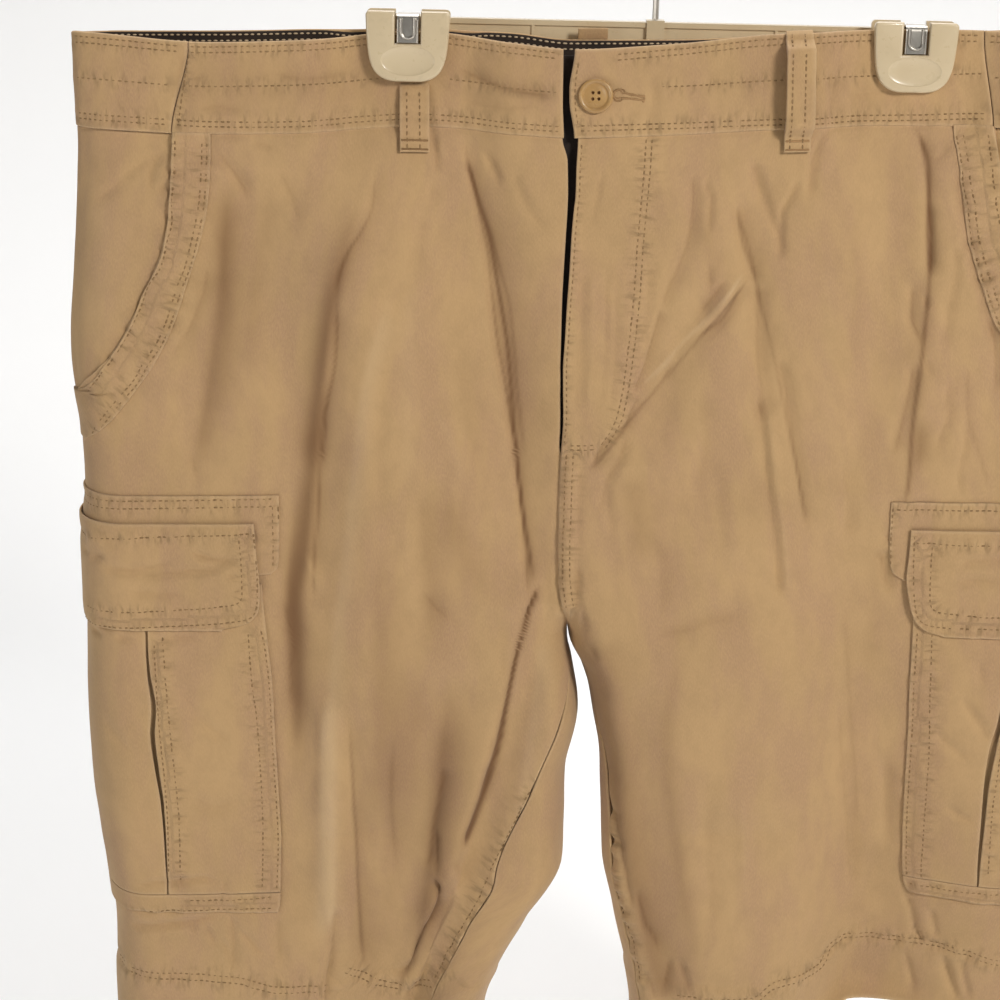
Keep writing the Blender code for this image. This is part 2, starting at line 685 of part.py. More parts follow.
def make_clip(side, centre, grip, carrier):
    """Front and back jaw and the spring over them. grip is the front jaw's distance in front."""
    name = SIDES[side]
    front = plate(f"jaw_front_{name}", jaw_outline(), CLIP_WALL, CREAM)
    hang(front, centre, -grip - CLIP_WALL / 2, CLIP_CENTRE, carrier)
    rear_grip = PINCHED + 0.5 + GAP
    back = plate(f"jaw_back_{name}", jaw_outline(), CLIP_WALL, CREAM)
    hang(back, centre, rear_grip + CLIP_WALL / 2, CLIP_CENTRE, carrier)
    outline = spring_outline(-grip - CLIP_WALL + 0.8, rear_grip + CLIP_WALL - 0.8)
    spring = plate(f"clip_spring_{name}", outline, SPRING_WIDTH, STEEL, across=True)
    hang(spring, centre, 0, CLIP_CENTRE, carrier)
    return rear_grip + CLIP_WALL + GAP


def block(name, size, centre):
    """A box of the given size in millimetres, from centre front, as a mesh in the cutters."""
    bpy.ops.mesh.primitive_cube_add(size=1)
    made = bpy.context.object
    made.name = name
    made.data.transform(Matrix.Diagonal((*(s * MM for s in size), 1)))
    made.data.transform(Matrix.Translation(world(centre).tolist()))
    as_cutter(made)
    return made


def make_bar(behind, carrier):
    """Bar with flanges, a sleeve at each clip and a boss for the hook, in one moulding."""
    half, depth, top = BAR_HEIGHT / 2, BAR_DEPTH / 2, BAR_TOP
    web, flange = depth - 1.2, 2.6
    outline = [(-depth, -half), (depth, -half), (depth, -half + flange), (web, -half + flange)]
    outline += [(web, half - flange), (depth, half - flange), (depth, half), (-depth, half)]
    outline += [(-depth, half - flange), (-web, half - flange)]
    outline += [(-web, -half + flange), (-depth, -half + flange)]
    middle = (CLIP_LEFT + CLIP_RIGHT) / 2
    bar = plate("hanger_bar", outline, CLIP_RIGHT - CLIP_LEFT - 20, CREAM, across=True)
    hang(bar, middle, HOOK[1], top - half, carrier)
    reach, middle_height = HOOK[1] + depth + 1 - behind, top - half
    boss = (9, BAR_DEPTH + 2, BAR_HEIGHT - 2)
    additions = [block("boss", boss, (HOOK[0], HOOK[1], middle_height + 2))]
    sleeve = (26, reach, BAR_HEIGHT + 2)
    for centre in (CLIP_LEFT, CLIP_RIGHT):
        additions.append(block("sleeve", sleeve, (centre, behind + reach / 2, middle_height)))
    rib = (1.6, BAR_DEPTH - 0.6, BAR_HEIGHT - 2)
    for centre in RIBS:
        additions.append(block("rib", rib, (centre, HOOK[1], middle_height)))
    for piece in additions:
        piece.parent = carrier
        union = bar.modifiers.new(piece.name, "BOOLEAN")
        union.operation = "UNION"
        union.object = piece


def make_hook(carrier):
    """Wire hook: a stem that swings aside and a round top that hangs on a rail."""
    radius = 20 + WIRE / 2
    middle = -radius + WIRE / 2  # of the round top, below the rail's contact
    turns = np.radians(np.linspace(-20, 205, 19))
    route = [(0, BAR_TOP + 1.3 - HOOK[2]), (0, -66), (2, -58), (9, -50), (16, -40)]
    route += [(radius * math.cos(a), middle + radius * math.sin(a)) for a in turns]
    curve = bpy.data.curves.new("hanger_hook", "CURVE")
    curve.dimensions = "3D"
    curve.bevel_depth = WIRE / 2 * MM
    curve.bevel_resolution = 2
    curve.use_fill_caps = True
    spline = curve.splines.new("POLY")
    spline.points.add(len(route) - 1)
    for point, (x, z) in zip(spline.points, route):
        point.co = (x * MM, 0, z * MM, 1)
    curve.materials.append(material("hanger_hook", STEEL))
    made = bpy.data.objects.new("hanger_hook", curve)
    PARTS.objects.link(made)
    made.parent = carrier


def make_hanger():
    """Everything that holds the shorts, tilted about the hook."""
    carrier = bpy.data.objects.new("hanger", None)
    PARTS.objects.link(carrier)
    carrier.rotation_euler = (0, HANGER_TILT, 0)
    shift = HOOK[2] * math.sin(HANGER_TILT)
    grips = {LEFT: PINCHED + 2.9, RIGHT: PINCHED + 0.5 + GAP}
    for side, centre in ((LEFT, CLIP_LEFT), (RIGHT, CLIP_RIGHT)):
        behind = make_clip(side, centre + shift, grips[side], carrier)
    make_bar(behind, carrier)
    make_hook(carrier)


def clear_scene():
    for old in list(bpy.data.objects):
        bpy.data.objects.remove(old)


def new_collection(name):
    made = bpy.data.collections.new(name)
    bpy.context.scene.collection.children.link(made)
    return made


clear_scene()
PARTS = new_collection("cargo_shorts")
CUTTERS = new_collection("cutters")
for half in (LEFT, RIGHT):
    make_panels(half)
    make_pocket_mouth(half)
    make_cargo_pocket(half)
    make_waistband(half)
make_linings()
make_belt_loops()
make_button()
make_hanger()
bpy.context.view_layer.update()
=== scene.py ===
"""Cargo shorts hung by the waistband from a two-clip hanger.

Lengths in the tables are millimetres from centre front: x to the viewer's right, y away from
the viewer, z up from the waist. A level is a height on the flat panel, before the waist sags.
World lengths are metres from the inner top of the hanger's hook.
"""

import logging
import math
from collections.abc import Callable, Sequence
from dataclasses import dataclass, field
from enum import Enum
from functools import lru_cache

import bmesh
import bpy
import numpy as np
from mathutils import Matrix

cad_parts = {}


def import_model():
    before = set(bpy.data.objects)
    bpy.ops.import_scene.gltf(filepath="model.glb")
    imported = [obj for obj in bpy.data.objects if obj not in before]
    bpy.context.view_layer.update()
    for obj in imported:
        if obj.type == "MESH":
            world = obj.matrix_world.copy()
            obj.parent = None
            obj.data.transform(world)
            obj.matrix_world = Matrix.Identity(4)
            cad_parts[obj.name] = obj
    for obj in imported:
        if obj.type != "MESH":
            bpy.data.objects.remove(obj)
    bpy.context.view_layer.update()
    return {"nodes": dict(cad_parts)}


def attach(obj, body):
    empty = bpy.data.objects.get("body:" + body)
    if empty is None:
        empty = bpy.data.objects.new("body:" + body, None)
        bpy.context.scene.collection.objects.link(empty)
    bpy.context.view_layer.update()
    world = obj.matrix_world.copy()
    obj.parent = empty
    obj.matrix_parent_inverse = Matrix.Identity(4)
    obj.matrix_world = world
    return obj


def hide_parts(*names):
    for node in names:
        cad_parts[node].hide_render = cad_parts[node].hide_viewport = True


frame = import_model()

LOG = logging.getLogger("cargo_shorts")
Points = np.ndarray
MM = 0.001
HOOK = np.array([45.0, 18.0, 100.0])  # inner top of the hook, from centre front at the waist

CLOTH = 1.2
BAND_WALL = 2.2
GAP = 0.3
SIDE_ROUND, INNER_ROUND = 26.0, 18.0
PINCHED = 3.5  # half thickness of the waistband between a clip's jaws
COARSE = 3  # the inner skin of a cloth piece has one cell for so many of the outer skin

WAIST_TOP, WAIST_SEAM, FLY_END, HEM = 4.0, -43.0, -207.0, -545.0
PATCH_END, FLAP_END = -273.0, -303.0
POCKET_BAND, POCKET_END = -454.0, -470.0
POCKET_EDGE, POCKET_REAR = 122.0, 84.0
CLIP_LEFT, CLIP_RIGHT = -82.0, 171.5


class Side(Enum):
    """Half of the shorts, as the viewer sees it."""

    LEFT = -1
    RIGHT = 1


class Face(Enum):
    """Front or back of the shorts."""

    FRONT = -1
    BACK = 1


def smooth(where: Points, stations: Points, values: Points) -> Points:
    """Read a smooth curve through the stations, with no overshoot between them.

    Args:
        where: places to read at.
        stations: ascending places where the values hold.
        values: one value a station.

    Returns:
        The curve's value at each place.
    """
    step = np.diff(stations)
    rise = np.diff(values) / step
    slope = np.zeros(len(values))
    same = rise[:-1] * rise[1:] > 0
    before, after = rise[:-1][same], rise[1:][same]
    slope[1:-1][same] = 2 * before * after / (before + after)
    where = np.clip(where, stations[0], stations[-1])
    k = np.clip(np.searchsorted(stations, where) - 1, 0, len(step) - 1)
    s = (where - stations[k]) / step[k]
    start = values[k] * (1 + 2 * s) * (1 - s) ** 2 + values[k + 1] * s**2 * (3 - 2 * s)
    return start + step[k] * (slope[k] * s * (1 - s) ** 2 - slope[k + 1] * s**2 * (1 - s))


class Table:
    """A short table whose first column is the station and whose rows are read smoothly."""

    def __init__(self, names: str, *rows: tuple[float, ...]) -> None:
        """Keep the rows by column name.

        Args:
            names: column names, the station's first.
            rows: one tuple a station.
        """
        data = np.array(sorted(rows), float)
        self.stations = data[:, 0]
        self.columns = dict(zip(names.split()[1:], data[:, 1:].T))

    def at(self, name: str, where: Points | float) -> Points:
        """Read one column at the given stations."""
        return smooth(np.asarray(where, float), self.stations, self.columns[name])


# Half sections by height: distances out from the centre plane, depths from the mid-plane, closed
# from 0 where the halves meet to 1 on a leg, and turn, how far the inner seam lies forwards.
SECTION = "height outer inner front back closed turn"
SECTIONS = {
    Side.LEFT: Table(
        SECTION,
        (4, 250, 3.0, 11, 9, 0, 0),
        (-25, 250.5, 5.0, 14, 12, 0, 0),
        (-43, 250.5, 4.0, 16, 15, 0, 0),
        (-90, 253, 2.5, 20, 24, 0, 0),
        (-160, 259.5, 1.0, 24, 32, 0, 0),
        (-207, 256, 0.0, 27, 36, 0, 0),
        (-275, 257, 0.0, 32, 38, 0, 0),
        (-290, 257, 0.1, 33, 38, 0, 0),
        (-303, 257, 0.15, 34, 38, 0.5, 0),
        (-316, 257, 0.15, 35, 38, 1, 0),
        (-330, 257, -3.0, 36, 37, 1, 15),
        (-356, 256.5, -6.2, 37, 36, 1, 35),
        (-392, 256, -0.4, 38, 35, 1, 46),
        (-446, 253, 1.3, 39, 34, 1, 66),
        (-477, 251, 19, 39, 34, 1, 64),
        (-545, 252, 46, 38, 33, 1, 62),
    ),
    Side.RIGHT: Table(
        SECTION,
        (4, 250, 0.0, 11, 9, 0, 0),
        (-25, 250.5, 0.0, 14, 12, 0, 0),
        (-43, 250.5, 0.0, 16, 15, 0, 0),
        (-90, 254, 0.0, 20, 24, 0, 0),
        (-160, 263, 0.0, 24, 32, 0, 0),
        (-207, 271, 0.0, 27, 36, 0, 0),
        (-275, 278, 0.0, 32, 38, 0, 0),
        (-290, 280, 0.1, 33, 38, 0, 0),
        (-303, 281, 0.15, 34, 38, 0.5, 0),
        (-316, 282, 1.5, 35, 38, 1, 0),
        (-330, 283, 8.0, 36, 37, 1, 8),
        (-356, 284, 14, 36, 36, 1, 14),
        (-392, 285, 19.5, 36, 35, 1, 20),
        (-446, 286, 20.5, 36, 34, 1, 24),
        (-477, 285, 27, 36, 34, 1, 25),
        (-545, 280, 39, 35, 33, 1, 26),
    ),
}

# The slant pocket's mouth and its band's far edge, by height, out from the centre plane
MOUTHS = {
    Side.LEFT: Table(
        "height mouth band",
        (4, 196, 182),
        (-43, 200, 183),
        (-70, 202, 185),
        (-94, 204.7, 189),
        (-106, 207.7, 192),
        (-117, 213.0, 195),
        (-127, 218.6, 199),
        (-139, 223.5, 205),
        (-149, 229.3, 209),
        (-159, 236.2, 215),
        (-169, 243.8, 221),
        (-177, 254, 228),
        (-186, 300, 236),
        (-205, 300, 300),
    ),
    Side.RIGHT: Table(
        "height mouth band",
        (4, 206, 190),
        (-43, 212, 195.5),
        (-60, 215, 198),
        (-80, 218, 202),
        (-100, 222, 207.5),
        (-120, 229, 213.5),
        (-140, 238, 220),
        (-160, 254, 232),
        (-172, 300, 242),
        (-205, 300, 300),
    ),
}
MOUTH_FOOT = {Side.LEFT: -184.0, Side.RIGHT: -176.0}
BAND_JOINS = {
    Side.LEFT: Table("height join", (4, 191), (-43, 200.5)),
    Side.RIGHT: Table("height join", (4, 205.5), (-43, 211.5)),
}

# How far the top edge lies above its level, by x: it sags between the clips
SAG = Table(
    "x front back",
    (-250, 0.5, -0.5),
    (-180, -4.5, -0.5),
    (-120, -3.0, 0.5),
    (-82, 0.5, 1.0),
    (-30, -5.0, -1.5),
    (0, -8.0, -5.0),
    (50, -5.5, -5.0),
    (104, -0.5, -3.0),
    (171, 1.0, -1.0),
    (250, 0.0, 0.0),
)
SAG_FADE = 180.0

# How far the hem is drawn up by its stitching, by x
HEM_RISE = Table(
    "x rise",
    (-252, 5),
    (-200, 6),
    (-165, 2),
    (-120, 0),
    (0, 0),
    (104, -4),
    (120, 1),
    (143, 3),
    (162, 13),
    (205, 14),
    (240, 10),
    (280, 8),
)

# Main folds: each follows x smoothly through three heights, a trough where its depth is positive
FOLD = "z_top x_top z_mid x_mid z_end x_end left right depth_top depth_end"
FOLDS = {
    Face.FRONT: (
        (-40, -66, -140, -38, -290, -21, 26, 24, 6, 8),
        (-262, -10, -400, -41, -560, -86, 6, 12, 4, 13),
        (-320, -62, -420, -82, -560, -100, 26, 20, 4, 20),
        (-60, -160, -250, -130, -470, -156, 22, 22, 5, 4),
        (-70, -118, -250, -100, -420, -118, 26, 26, -4, -6),
        (-30, 150, -110, 161, -230, 150, 12, 16, 5, 3),
        (-60, 92, -110, 92, -200, 104, 13, 13, 4, 3),
        (-120, 72, -160, 54, -215, 38, 14, 14, 4, 5),
        (-230, 150, -400, 160, -560, 164, 30, 48, 4, 34),
        (-330, 34, -440, 44, -560, 62, 12, 16, 3, 8),
        (-230, 70, -330, 66, -420, 80, 40, 44, -5, -5),
    ),
    Face.BACK: (
        (-50, -82, -190, -66, -330, -58, 26, 26, 6, 6),
        (-50, 168, -190, 150, -330, 130, 26, 26, 6, 6),
        (-60, 40, -170, 30, -290, 14, 22, 22, 5, 8),
        (-70, -190, -220, -176, -400, -186, 24, 24, 5, 4),
        (-60, 226, -200, 216, -360, 206, 20, 24, 5, 4),
        (-320, -128, -440, -134, -560, -140, 26, 30, 5, 20),
        (-320, 120, -440, 132, -560, 128, 28, 26, 5, 20),
    ),
}
FOLD_FADE = 30.0


def fold_depth(face: Face, x: Points, z: Points) -> Points:
    """How far the main folds push the cloth inwards.

    Args:
        face: front or back.
        x: distances from centre front.
        z: heights.

    Returns:
        The depth at each point.
    """
    depth = np.zeros(np.broadcast(x, z).shape)
    for fold in FOLDS[face]:
        row = dict(zip(FOLD.split(), fold))
        top, end = row["z_top"], row["z_end"]
        levels = np.array([end, row["z_mid"], top], float)
        across = np.array([row["x_end"], row["x_mid"], row["x_top"]], float)
        line = smooth(np.asarray(z, float), levels, across)
        along = np.clip((top - z) / (top - end), 0, 1)
        size = row["depth_top"] + (row["depth_end"] - row["depth_top"]) * along
        ends = np.clip((top - z) / FOLD_FADE, 0, 1) * np.clip((z - end) / FOLD_FADE, 0, 1)
        width = np.where(x < line, row["left"], row["right"])
        depth += size * np.sin(ends * math.pi / 2) * np.exp(-(((x - line) / width) ** 2))
    return depth


def rounded(distance: Points, width: float) -> Points:
    """Quarter of an ellipse: 0 at an edge, 1 from the given width inwards."""
    return np.sqrt(np.maximum(1 - (1 - np.clip(distance / width, 0, 1)) ** 2, 0))


def inner_edge(distance: Points, closed: Points) -> Points:
    """1 where the halves meet, and rounded down to 0 at the inner edge of a leg.

    Args:
        distance: distance from the inner edge, in mm.
        closed: how far the halves are joined at each level, from 0 to 1.

    Returns:
        The factor at each level, from 0 to 1.
    """
    soft = (1 - np.clip(distance / INNER_ROUND, 0, 1)) ** 2
    full = 1 - rounded(distance, INNER_ROUND)
    return np.maximum(1 - closed * (soft + (full - soft) * closed**4), 0)


def pinch(x: Points, z: Points) -> Points:
    """1 between the jaws of a clip, falling to 0 around them.

    Args:
        x: places across, in mm.
        z: places in height, in mm.

    Returns:
        The share at each place, from 0 to 1.
    """
    near: Points = np.zeros(1)
    for centre in (CLIP_LEFT, CLIP_RIGHT):
        aside = np.clip((np.abs(x - centre) - 25) / 30, 0, 1)
        below = np.clip((-26 - z) / 50, 0, 1)
        near = np.maximum(near, (1 + np.cos(math.pi * aside)) * (1 + np.cos(math.pi * below)) / 4)
    return near


def depth_at(side: Side, face: Face, x: Points, z: Points) -> Points:
    """y of the cloth's outer side.

    Args:
        side: which half.
        face: front or back.
        x: distances from centre front.
        z: heights.

    Returns:
        y at each point, towards the viewer below zero.
    """
    table = SECTIONS[side]
    out = side.value * x
    edge = rounded(table.at("outer", z) - out, SIDE_ROUND)
    edge = edge * inner_edge(out - table.at("inner", z), table.at("closed", z))
    held = pinch(x, z)
    column = "front" if face is Face.FRONT else "back"
    depth = table.at(column, z) * edge * (1 - held) + PINCHED * edge**0.2 * held
    return face.value * (depth - fold_depth(face, x, z) * edge**2 * (1 - held))


class Section:
    """The horizontal section of one half at a level, read by distance from the side seam."""

    COUNT = 480

    def __init__(self, side: Side, z: float) -> None:
        """Measure the section's front and back lines.

        Args:
            side: which half.
            z: height of the section.
        """
        self.side = side
        table = SECTIONS[side]
        outer, inner, turn = (float(table.at(name, z)) for name in ("outer", "inner", "turn"))
        eased = (1 - np.cos(np.linspace(0, math.pi, self.COUNT))) / 2
        x = side.value * (outer + (inner - outer) * eased)
        own, ends = {}, {}
        for face in Face:
            lengths, own[face] = self.measured(np.column_stack([x, depth_at(side, face, x, z)]))
            ends[face] = lengths[-1]
        self.front_end, self.back_end = ends[Face.FRONT] - turn, ends[Face.BACK] + turn
        joined = table.at("closed", z) > 0.999
        self.lines = {}
        for face, points in own.items():
            other = own[Face(-face.value)]
            run = points[-1] - points[-8]
            straight = points[-1:] + 40 * run / np.linalg.norm(run)
            beyond = other[-2::-1] if joined else straight
            self.lines[face] = self.measured(np.vstack([points, beyond]))

    @staticmethod
    def measured(points: Points) -> tuple[Points, Points]:
        """Lengths along a line and its points, without points that coincide.

        Args:
            points: points of the line, one row each.

        Returns:
            Lengths along the line and the points they belong to.
        """
        apart = np.linalg.norm(np.diff(points, axis=0), axis=1) > 1e-6
        points = points[np.concatenate([[True], apart])]
        steps = np.linalg.norm(np.diff(points, axis=0), axis=1)
        return np.concatenate([[0], np.cumsum(steps)]), points

    def at(self, distance: Points) -> Points:
        """Read (x, y) at distances from the side seam, backwards ones negative.

        Args:
            distance: distances from the side seam, in mm.

        Returns:
            The (x, y) of each distance.
        """
        found = []
        for face, sign in ((Face.FRONT, 1), (Face.BACK, -1)):
            length, points = self.lines[face]
            found.append(
                np.column_stack([np.interp(sign * distance, length, points[:, k]) for k in (0, 1)])
            )
        return np.where((distance >= 0)[:, None], found[0], found[1])

    def distance_to(self, out: Points | float, face: Face = Face.FRONT) -> Points:
        """Signed distance from the side seam to distances outwards from the centre plane.

        Args:
            out: distances outwards from the centre plane, in mm.
            face: face of the garment that the section is read on.

        Returns:
            The distances along that face, negative on the back.
        """
        length, points = self.lines[face]
        reach = -self.side.value * points[:, 0]
        first = int(np.argmax(reach)) + 1
        found = np.interp(-np.asarray(out, float), reach[:first], length[:first])
        return -face.value * found


@lru_cache(maxsize=None)
def section(side: Side, tenths: int) -> Section:
    """The section at a level given in tenths of a millimetre."""
    return Section(side, tenths / 10)


def section_at(side: Side, level: float) -> Section:
    """The section nearest to a level."""
    return section(side, int(round(level * 10)))


def rise(x: Points, level: Points) -> Points:
    """How far the hem is drawn up, at places in x and level."""
    return HEM_RISE.at("rise", x) * np.clip((-425 - level) / 85, 0, 1) ** 2


def lifted(points: Points) -> Points:
    """The points with the sag of the top edge and the rise of the hem added.

    Args:
        points: points in mm, one row each.

    Returns:
        The moved points, in the same order.
    """
    x, y, z = points.T
    fade = np.clip(1 + (z - WAIST_TOP) / SAG_FADE, 0, 1) ** 2
    forward = np.clip(0.5 - y / 6, 0, 1)
    sag = SAG.at("front", x) * forward + SAG.at("back", x) * (1 - forward)
    return np.column_stack([x, y, z + sag * fade + rise(x, z)])


def cubic_read(grid: Points, rows: Points, columns: Points) -> Points:
    """Read a lattice between its points with a smooth curve.

    Args:
        grid: lattice of values, with any further axis last.
        rows: fractional row of each place.
        columns: fractional column of each place.

    Returns:
        The value at each place.
    """

    def weights(at: Points, count: int) -> tuple[Points, Points]:
        """First index and the four weights of a place along one axis.

        Args:
            at: places along the axis, in cells.
            count: number of samples along the axis.

        Returns:
            The first sample of each place, and the weights of four samples from there.
        """
        at = np.clip(at, 1, count - 2.001)
        first = np.floor(at).astype(int)
        t = at - first
        parts = [
            -t + 2 * t**2 - t**3, 2 - 5 * t**2 + 3 * t**3, t + 4 * t**2 - 3 * t**3, t**3 - t**2
        ]
        return first - 1, np.array(parts) / 2

    first_row, by_row = weights(rows, grid.shape[0])
    first_column, by_column = weights(columns, grid.shape[1])
    total = 0.0
    for i in range(4):
        for j in range(4):
            share = by_row[i] * by_column[j]
            value = grid[first_row + i, first_column + j]
            total = total + (
                share[..., None] * value if value.ndim > share.ndim else share * value
            )
    return total


class Noise:
    """Smooth seeded noise over the plane, from -1 to 1."""

    def __init__(self, seed: int, size: int = 64) -> None:
        """Draw the lattice.

        Args:
            seed: fixes the pattern.
            size: cells before the pattern repeats.
        """
        self.size = size
        tile = np.random.default_rng(seed).uniform(-1, 1, (size, size))
        self.grid = np.tile(tile, (2, 2))

    def at(self, u: Points, v: Points) -> Points:
        """Read the noise, one cell a unit."""
        u, v = np.broadcast_arrays(u, v)
        return cubic_read(self.grid, np.mod(u, self.size) + 2, np.mod(v, self.size) + 2)


class Form:
    """Smooth surface of one half, read by level and by distance from the side seam."""

    STEP = 2.0

    def __init__(self, side: Side) -> None:
        """Measure the lattice.

        Args:
            side: which half.
        """
        self.side = side
        self.levels = np.arange(-556.0, 14.0, self.STEP)
        self.distances = np.arange(-420.0, 421.0, self.STEP)
        rows = []
        for level in self.levels:
            flat = section_at(side, level).at(self.distances)
            rows.append(lifted(np.column_stack([flat, np.full(len(flat), level)])))
        points = np.array(rows)
        normals = side.value * np.cross(np.gradient(points, axis=0), np.gradient(points, axis=1))
        normals /= np.maximum(np.linalg.norm(normals, axis=2), 1e-9)[..., None]
        self.lattice = np.concatenate([points, normals], axis=2)

    def read(self, levels: Points, distances: Points) -> tuple[Points, Points]:
        """Points and outward normals of the smooth surface.

        Args:
            levels: level of each place.
            distances: distance of each place from the side seam.

        Returns:
            The points and the unit normals.
        """
        rows = (levels - self.levels[0]) / self.STEP
        columns = (distances - self.distances[0]) / self.STEP
        found = cubic_read(self.lattice, rows, columns)
        normals = found[..., 3:]
        return found[..., :3], normals / np.linalg.norm(normals, axis=-1)[..., None]

    def distance(self, x: float, level: float, face: Face = Face.FRONT) -> float:
        """Distance from the side seam of a place given by x and level."""
        return float(section_at(self.side, level).distance_to(self.side.value * x, face))


FORMS = {side: Form(side) for side in Side}


Line = tuple[tuple[float, float], ...]
CREASING = 1.5  # how strongly the creases show


@lru_cache(maxsize=None)
def through(line: Line, pitch: float = 2.0) -> Points:
    """Points of a smooth curve through the given ones, about the pitch apart.

    Args:
        line: points that the curve passes.
        pitch: distance between the returned points, in mm.

    Returns:
        Points along the curve.
    """
    points = np.array(line, float)
    along = np.concatenate([[0], np.cumsum(np.linalg.norm(np.diff(points, axis=0), axis=1))])
    at = np.linspace(0, along[-1], max(int(along[-1] / pitch), 1) + 1)
    x, z = (smooth(at, along, points[:, k]) for k in (0, 1))
    return np.column_stack([x, z - rise(x, z)])


def beside(points: Points, gap: float) -> Points:
    """The line moved sideways: a positive gap is to the right of one that runs down.

    Args:
        points: points of the line, one row each.
        gap: how far the line moves, in mm.

    Returns:
        The moved points.
    """
    run = np.gradient(points, axis=0)
    run /= np.linalg.norm(run, axis=1)[:, None]
    return points + gap * np.column_stack([-run[:, 1], run[:, 0]])


def nearest(points: Points, x: Points, z: Points) -> tuple[Points, Points]:
    """Distances of places along a line and across it.

    Args:
        points: the line's points.
        x: one coordinate of the places.
        z: their other coordinate.

    Returns:
        Length along the line and signed distance from it, positive on the side that is to the
        right of a line that runs down.
    """
    start, run = points[:-1], np.diff(points, axis=0)
    length = np.linalg.norm(run, axis=1)
    before = np.concatenate([[0], np.cumsum(length)[:-1]])
    best, along, across = np.full(len(x), 1e9), np.zeros(len(x)), np.zeros(len(x))
    for (x0, z0), (dx, dz), size, passed in zip(start, run / length[:, None], length, before):
        ahead = (x - x0) * dx + (z - z0) * dz
        held = np.clip(ahead, 0, size)
        off = np.hypot(x - x0 - held * dx, z - z0 - held * dz)
        side = (z - z0) * dx - (x - x0) * dz
        closer = off < best
        best = np.where(closer, off, best)
        along = np.where(closer, passed + held, along)
        across = np.where(closer, np.copysign(off, side), across)
    return along, across


def close_to(points: Points, reach: float, x: Points, z: Points) -> tuple[Points, ...]:
    """Which places lie near a line, and where.

    Args:
        points: the line's points.
        reach: how far past the line's own box a place counts.
        x: places' distances from centre front.
        z: their levels.

    Returns:
        Indices of the near places, their lengths along the line and their distances across it.
    """
    low, high = points.min(axis=0) - reach, points.max(axis=0) + reach
    near = np.flatnonzero((x > low[0]) & (x < high[0]) & (z > low[1]) & (z < high[1]))
    if not len(near):
        return near, x[near], x[near]
    return near, *nearest(points, x[near], z[near])


@dataclass(frozen=True)
class Crease:
    """A crease, pressed in where its depth is positive and raised where it is negative.

    It falls away over its own width on the left and the right of a line that runs down, softly
    with a power of 2 and to a sharp bottom with a power near 1.
    """

    depth: float
    left: float
    right: float
    line: Line
    power: float = 2.0
    fade: float = 9.0

    def profile(self, x: Points, z: Points) -> tuple[Points, Points, Points, Points]:
        """Where the crease reaches and how it lies there.

        Args:
            x: places' distances from centre front.
            z: their levels.

        Returns:
            Indices of the places near it, their length along it and signed distance across it,
            and its strength along its length, which fades at both ends.
        """
        points = through(self.line, 3.0)
        near, along, across = close_to(points, 2.6 * max(self.left, self.right), x, z)
        if not len(near):
            return near, along, across, across
        length = np.linalg.norm(np.diff(points, axis=0), axis=1).sum()
        ends = np.clip(np.minimum(along, length - along) / min(self.fade, length / 2), 0, 1)
        return near, along, across, np.sin(ends * math.pi / 2) ** 1.5

    def add(self, x: Points, z: Points, out: Points, wobble: Noise) -> None:
        """Add the crease to the heights.

        Args:
            x: places' distances from centre front.
            z: their levels.
            out: heights that are changed.
            wobble: uneven depth along the crease.
        """
        near, along, across, strength = self.profile(x, z)
        width = np.where(across < 0, self.left, self.right)
        fall = np.exp(-((np.abs(across) / width) ** self.power))
        first_x, first_z = self.line[0]
        uneven = 1 + 0.3 * wobble.at(along / 14 + first_x, np.full(len(near), first_z))
        out[near] -= CREASING * self.depth * strength * fall * uneven

    def darken(self, x: Points, z: Points, out: Points, share: float) -> None:
        """Add the crease's painted shade, and painted light where it is raised.

        Args:
            x: places' distances from centre front.
            z: their levels.
            out: shades that are changed.
            share: shade for each millimetre of depth.
        """
        near, _, across, strength = self.profile(x, z)
        width = np.where(across < 0, 0.7 + 0.35 * self.left, 0.9 + 0.55 * self.right)
        narrow = min(self.left, self.right)
        core = 0.5 if narrow < 6 else 0.0
        fall = (1 - core) * np.exp(-((np.abs(across) / width) ** 1.6))
        fall += core * np.exp(-((across / (0.6 + 0.12 * narrow)) ** 2))
        out[near] += share * self.depth * strength * fall


@dataclass(frozen=True)
class StitchRow:
    """A row of stitches, or two at a gap, on a named piece, and how far it puckers the cloth."""

    piece: str
    line: Line
    gap: float = 0.0
    pucker: float = 0.35
    reach: float = 4.5
    pitch: float = 3.1
    face: Face = Face.FRONT

    def lines(self) -> list[Points]:
        """The rows' own lines."""
        first = through(self.line)
        return [first, beside(first, self.gap)] if self.gap else [first]

    def middle(self) -> Points:
        """The line between the rows."""
        points = through(self.line, 3.0)
        return beside(points, self.gap / 2) if self.gap else points


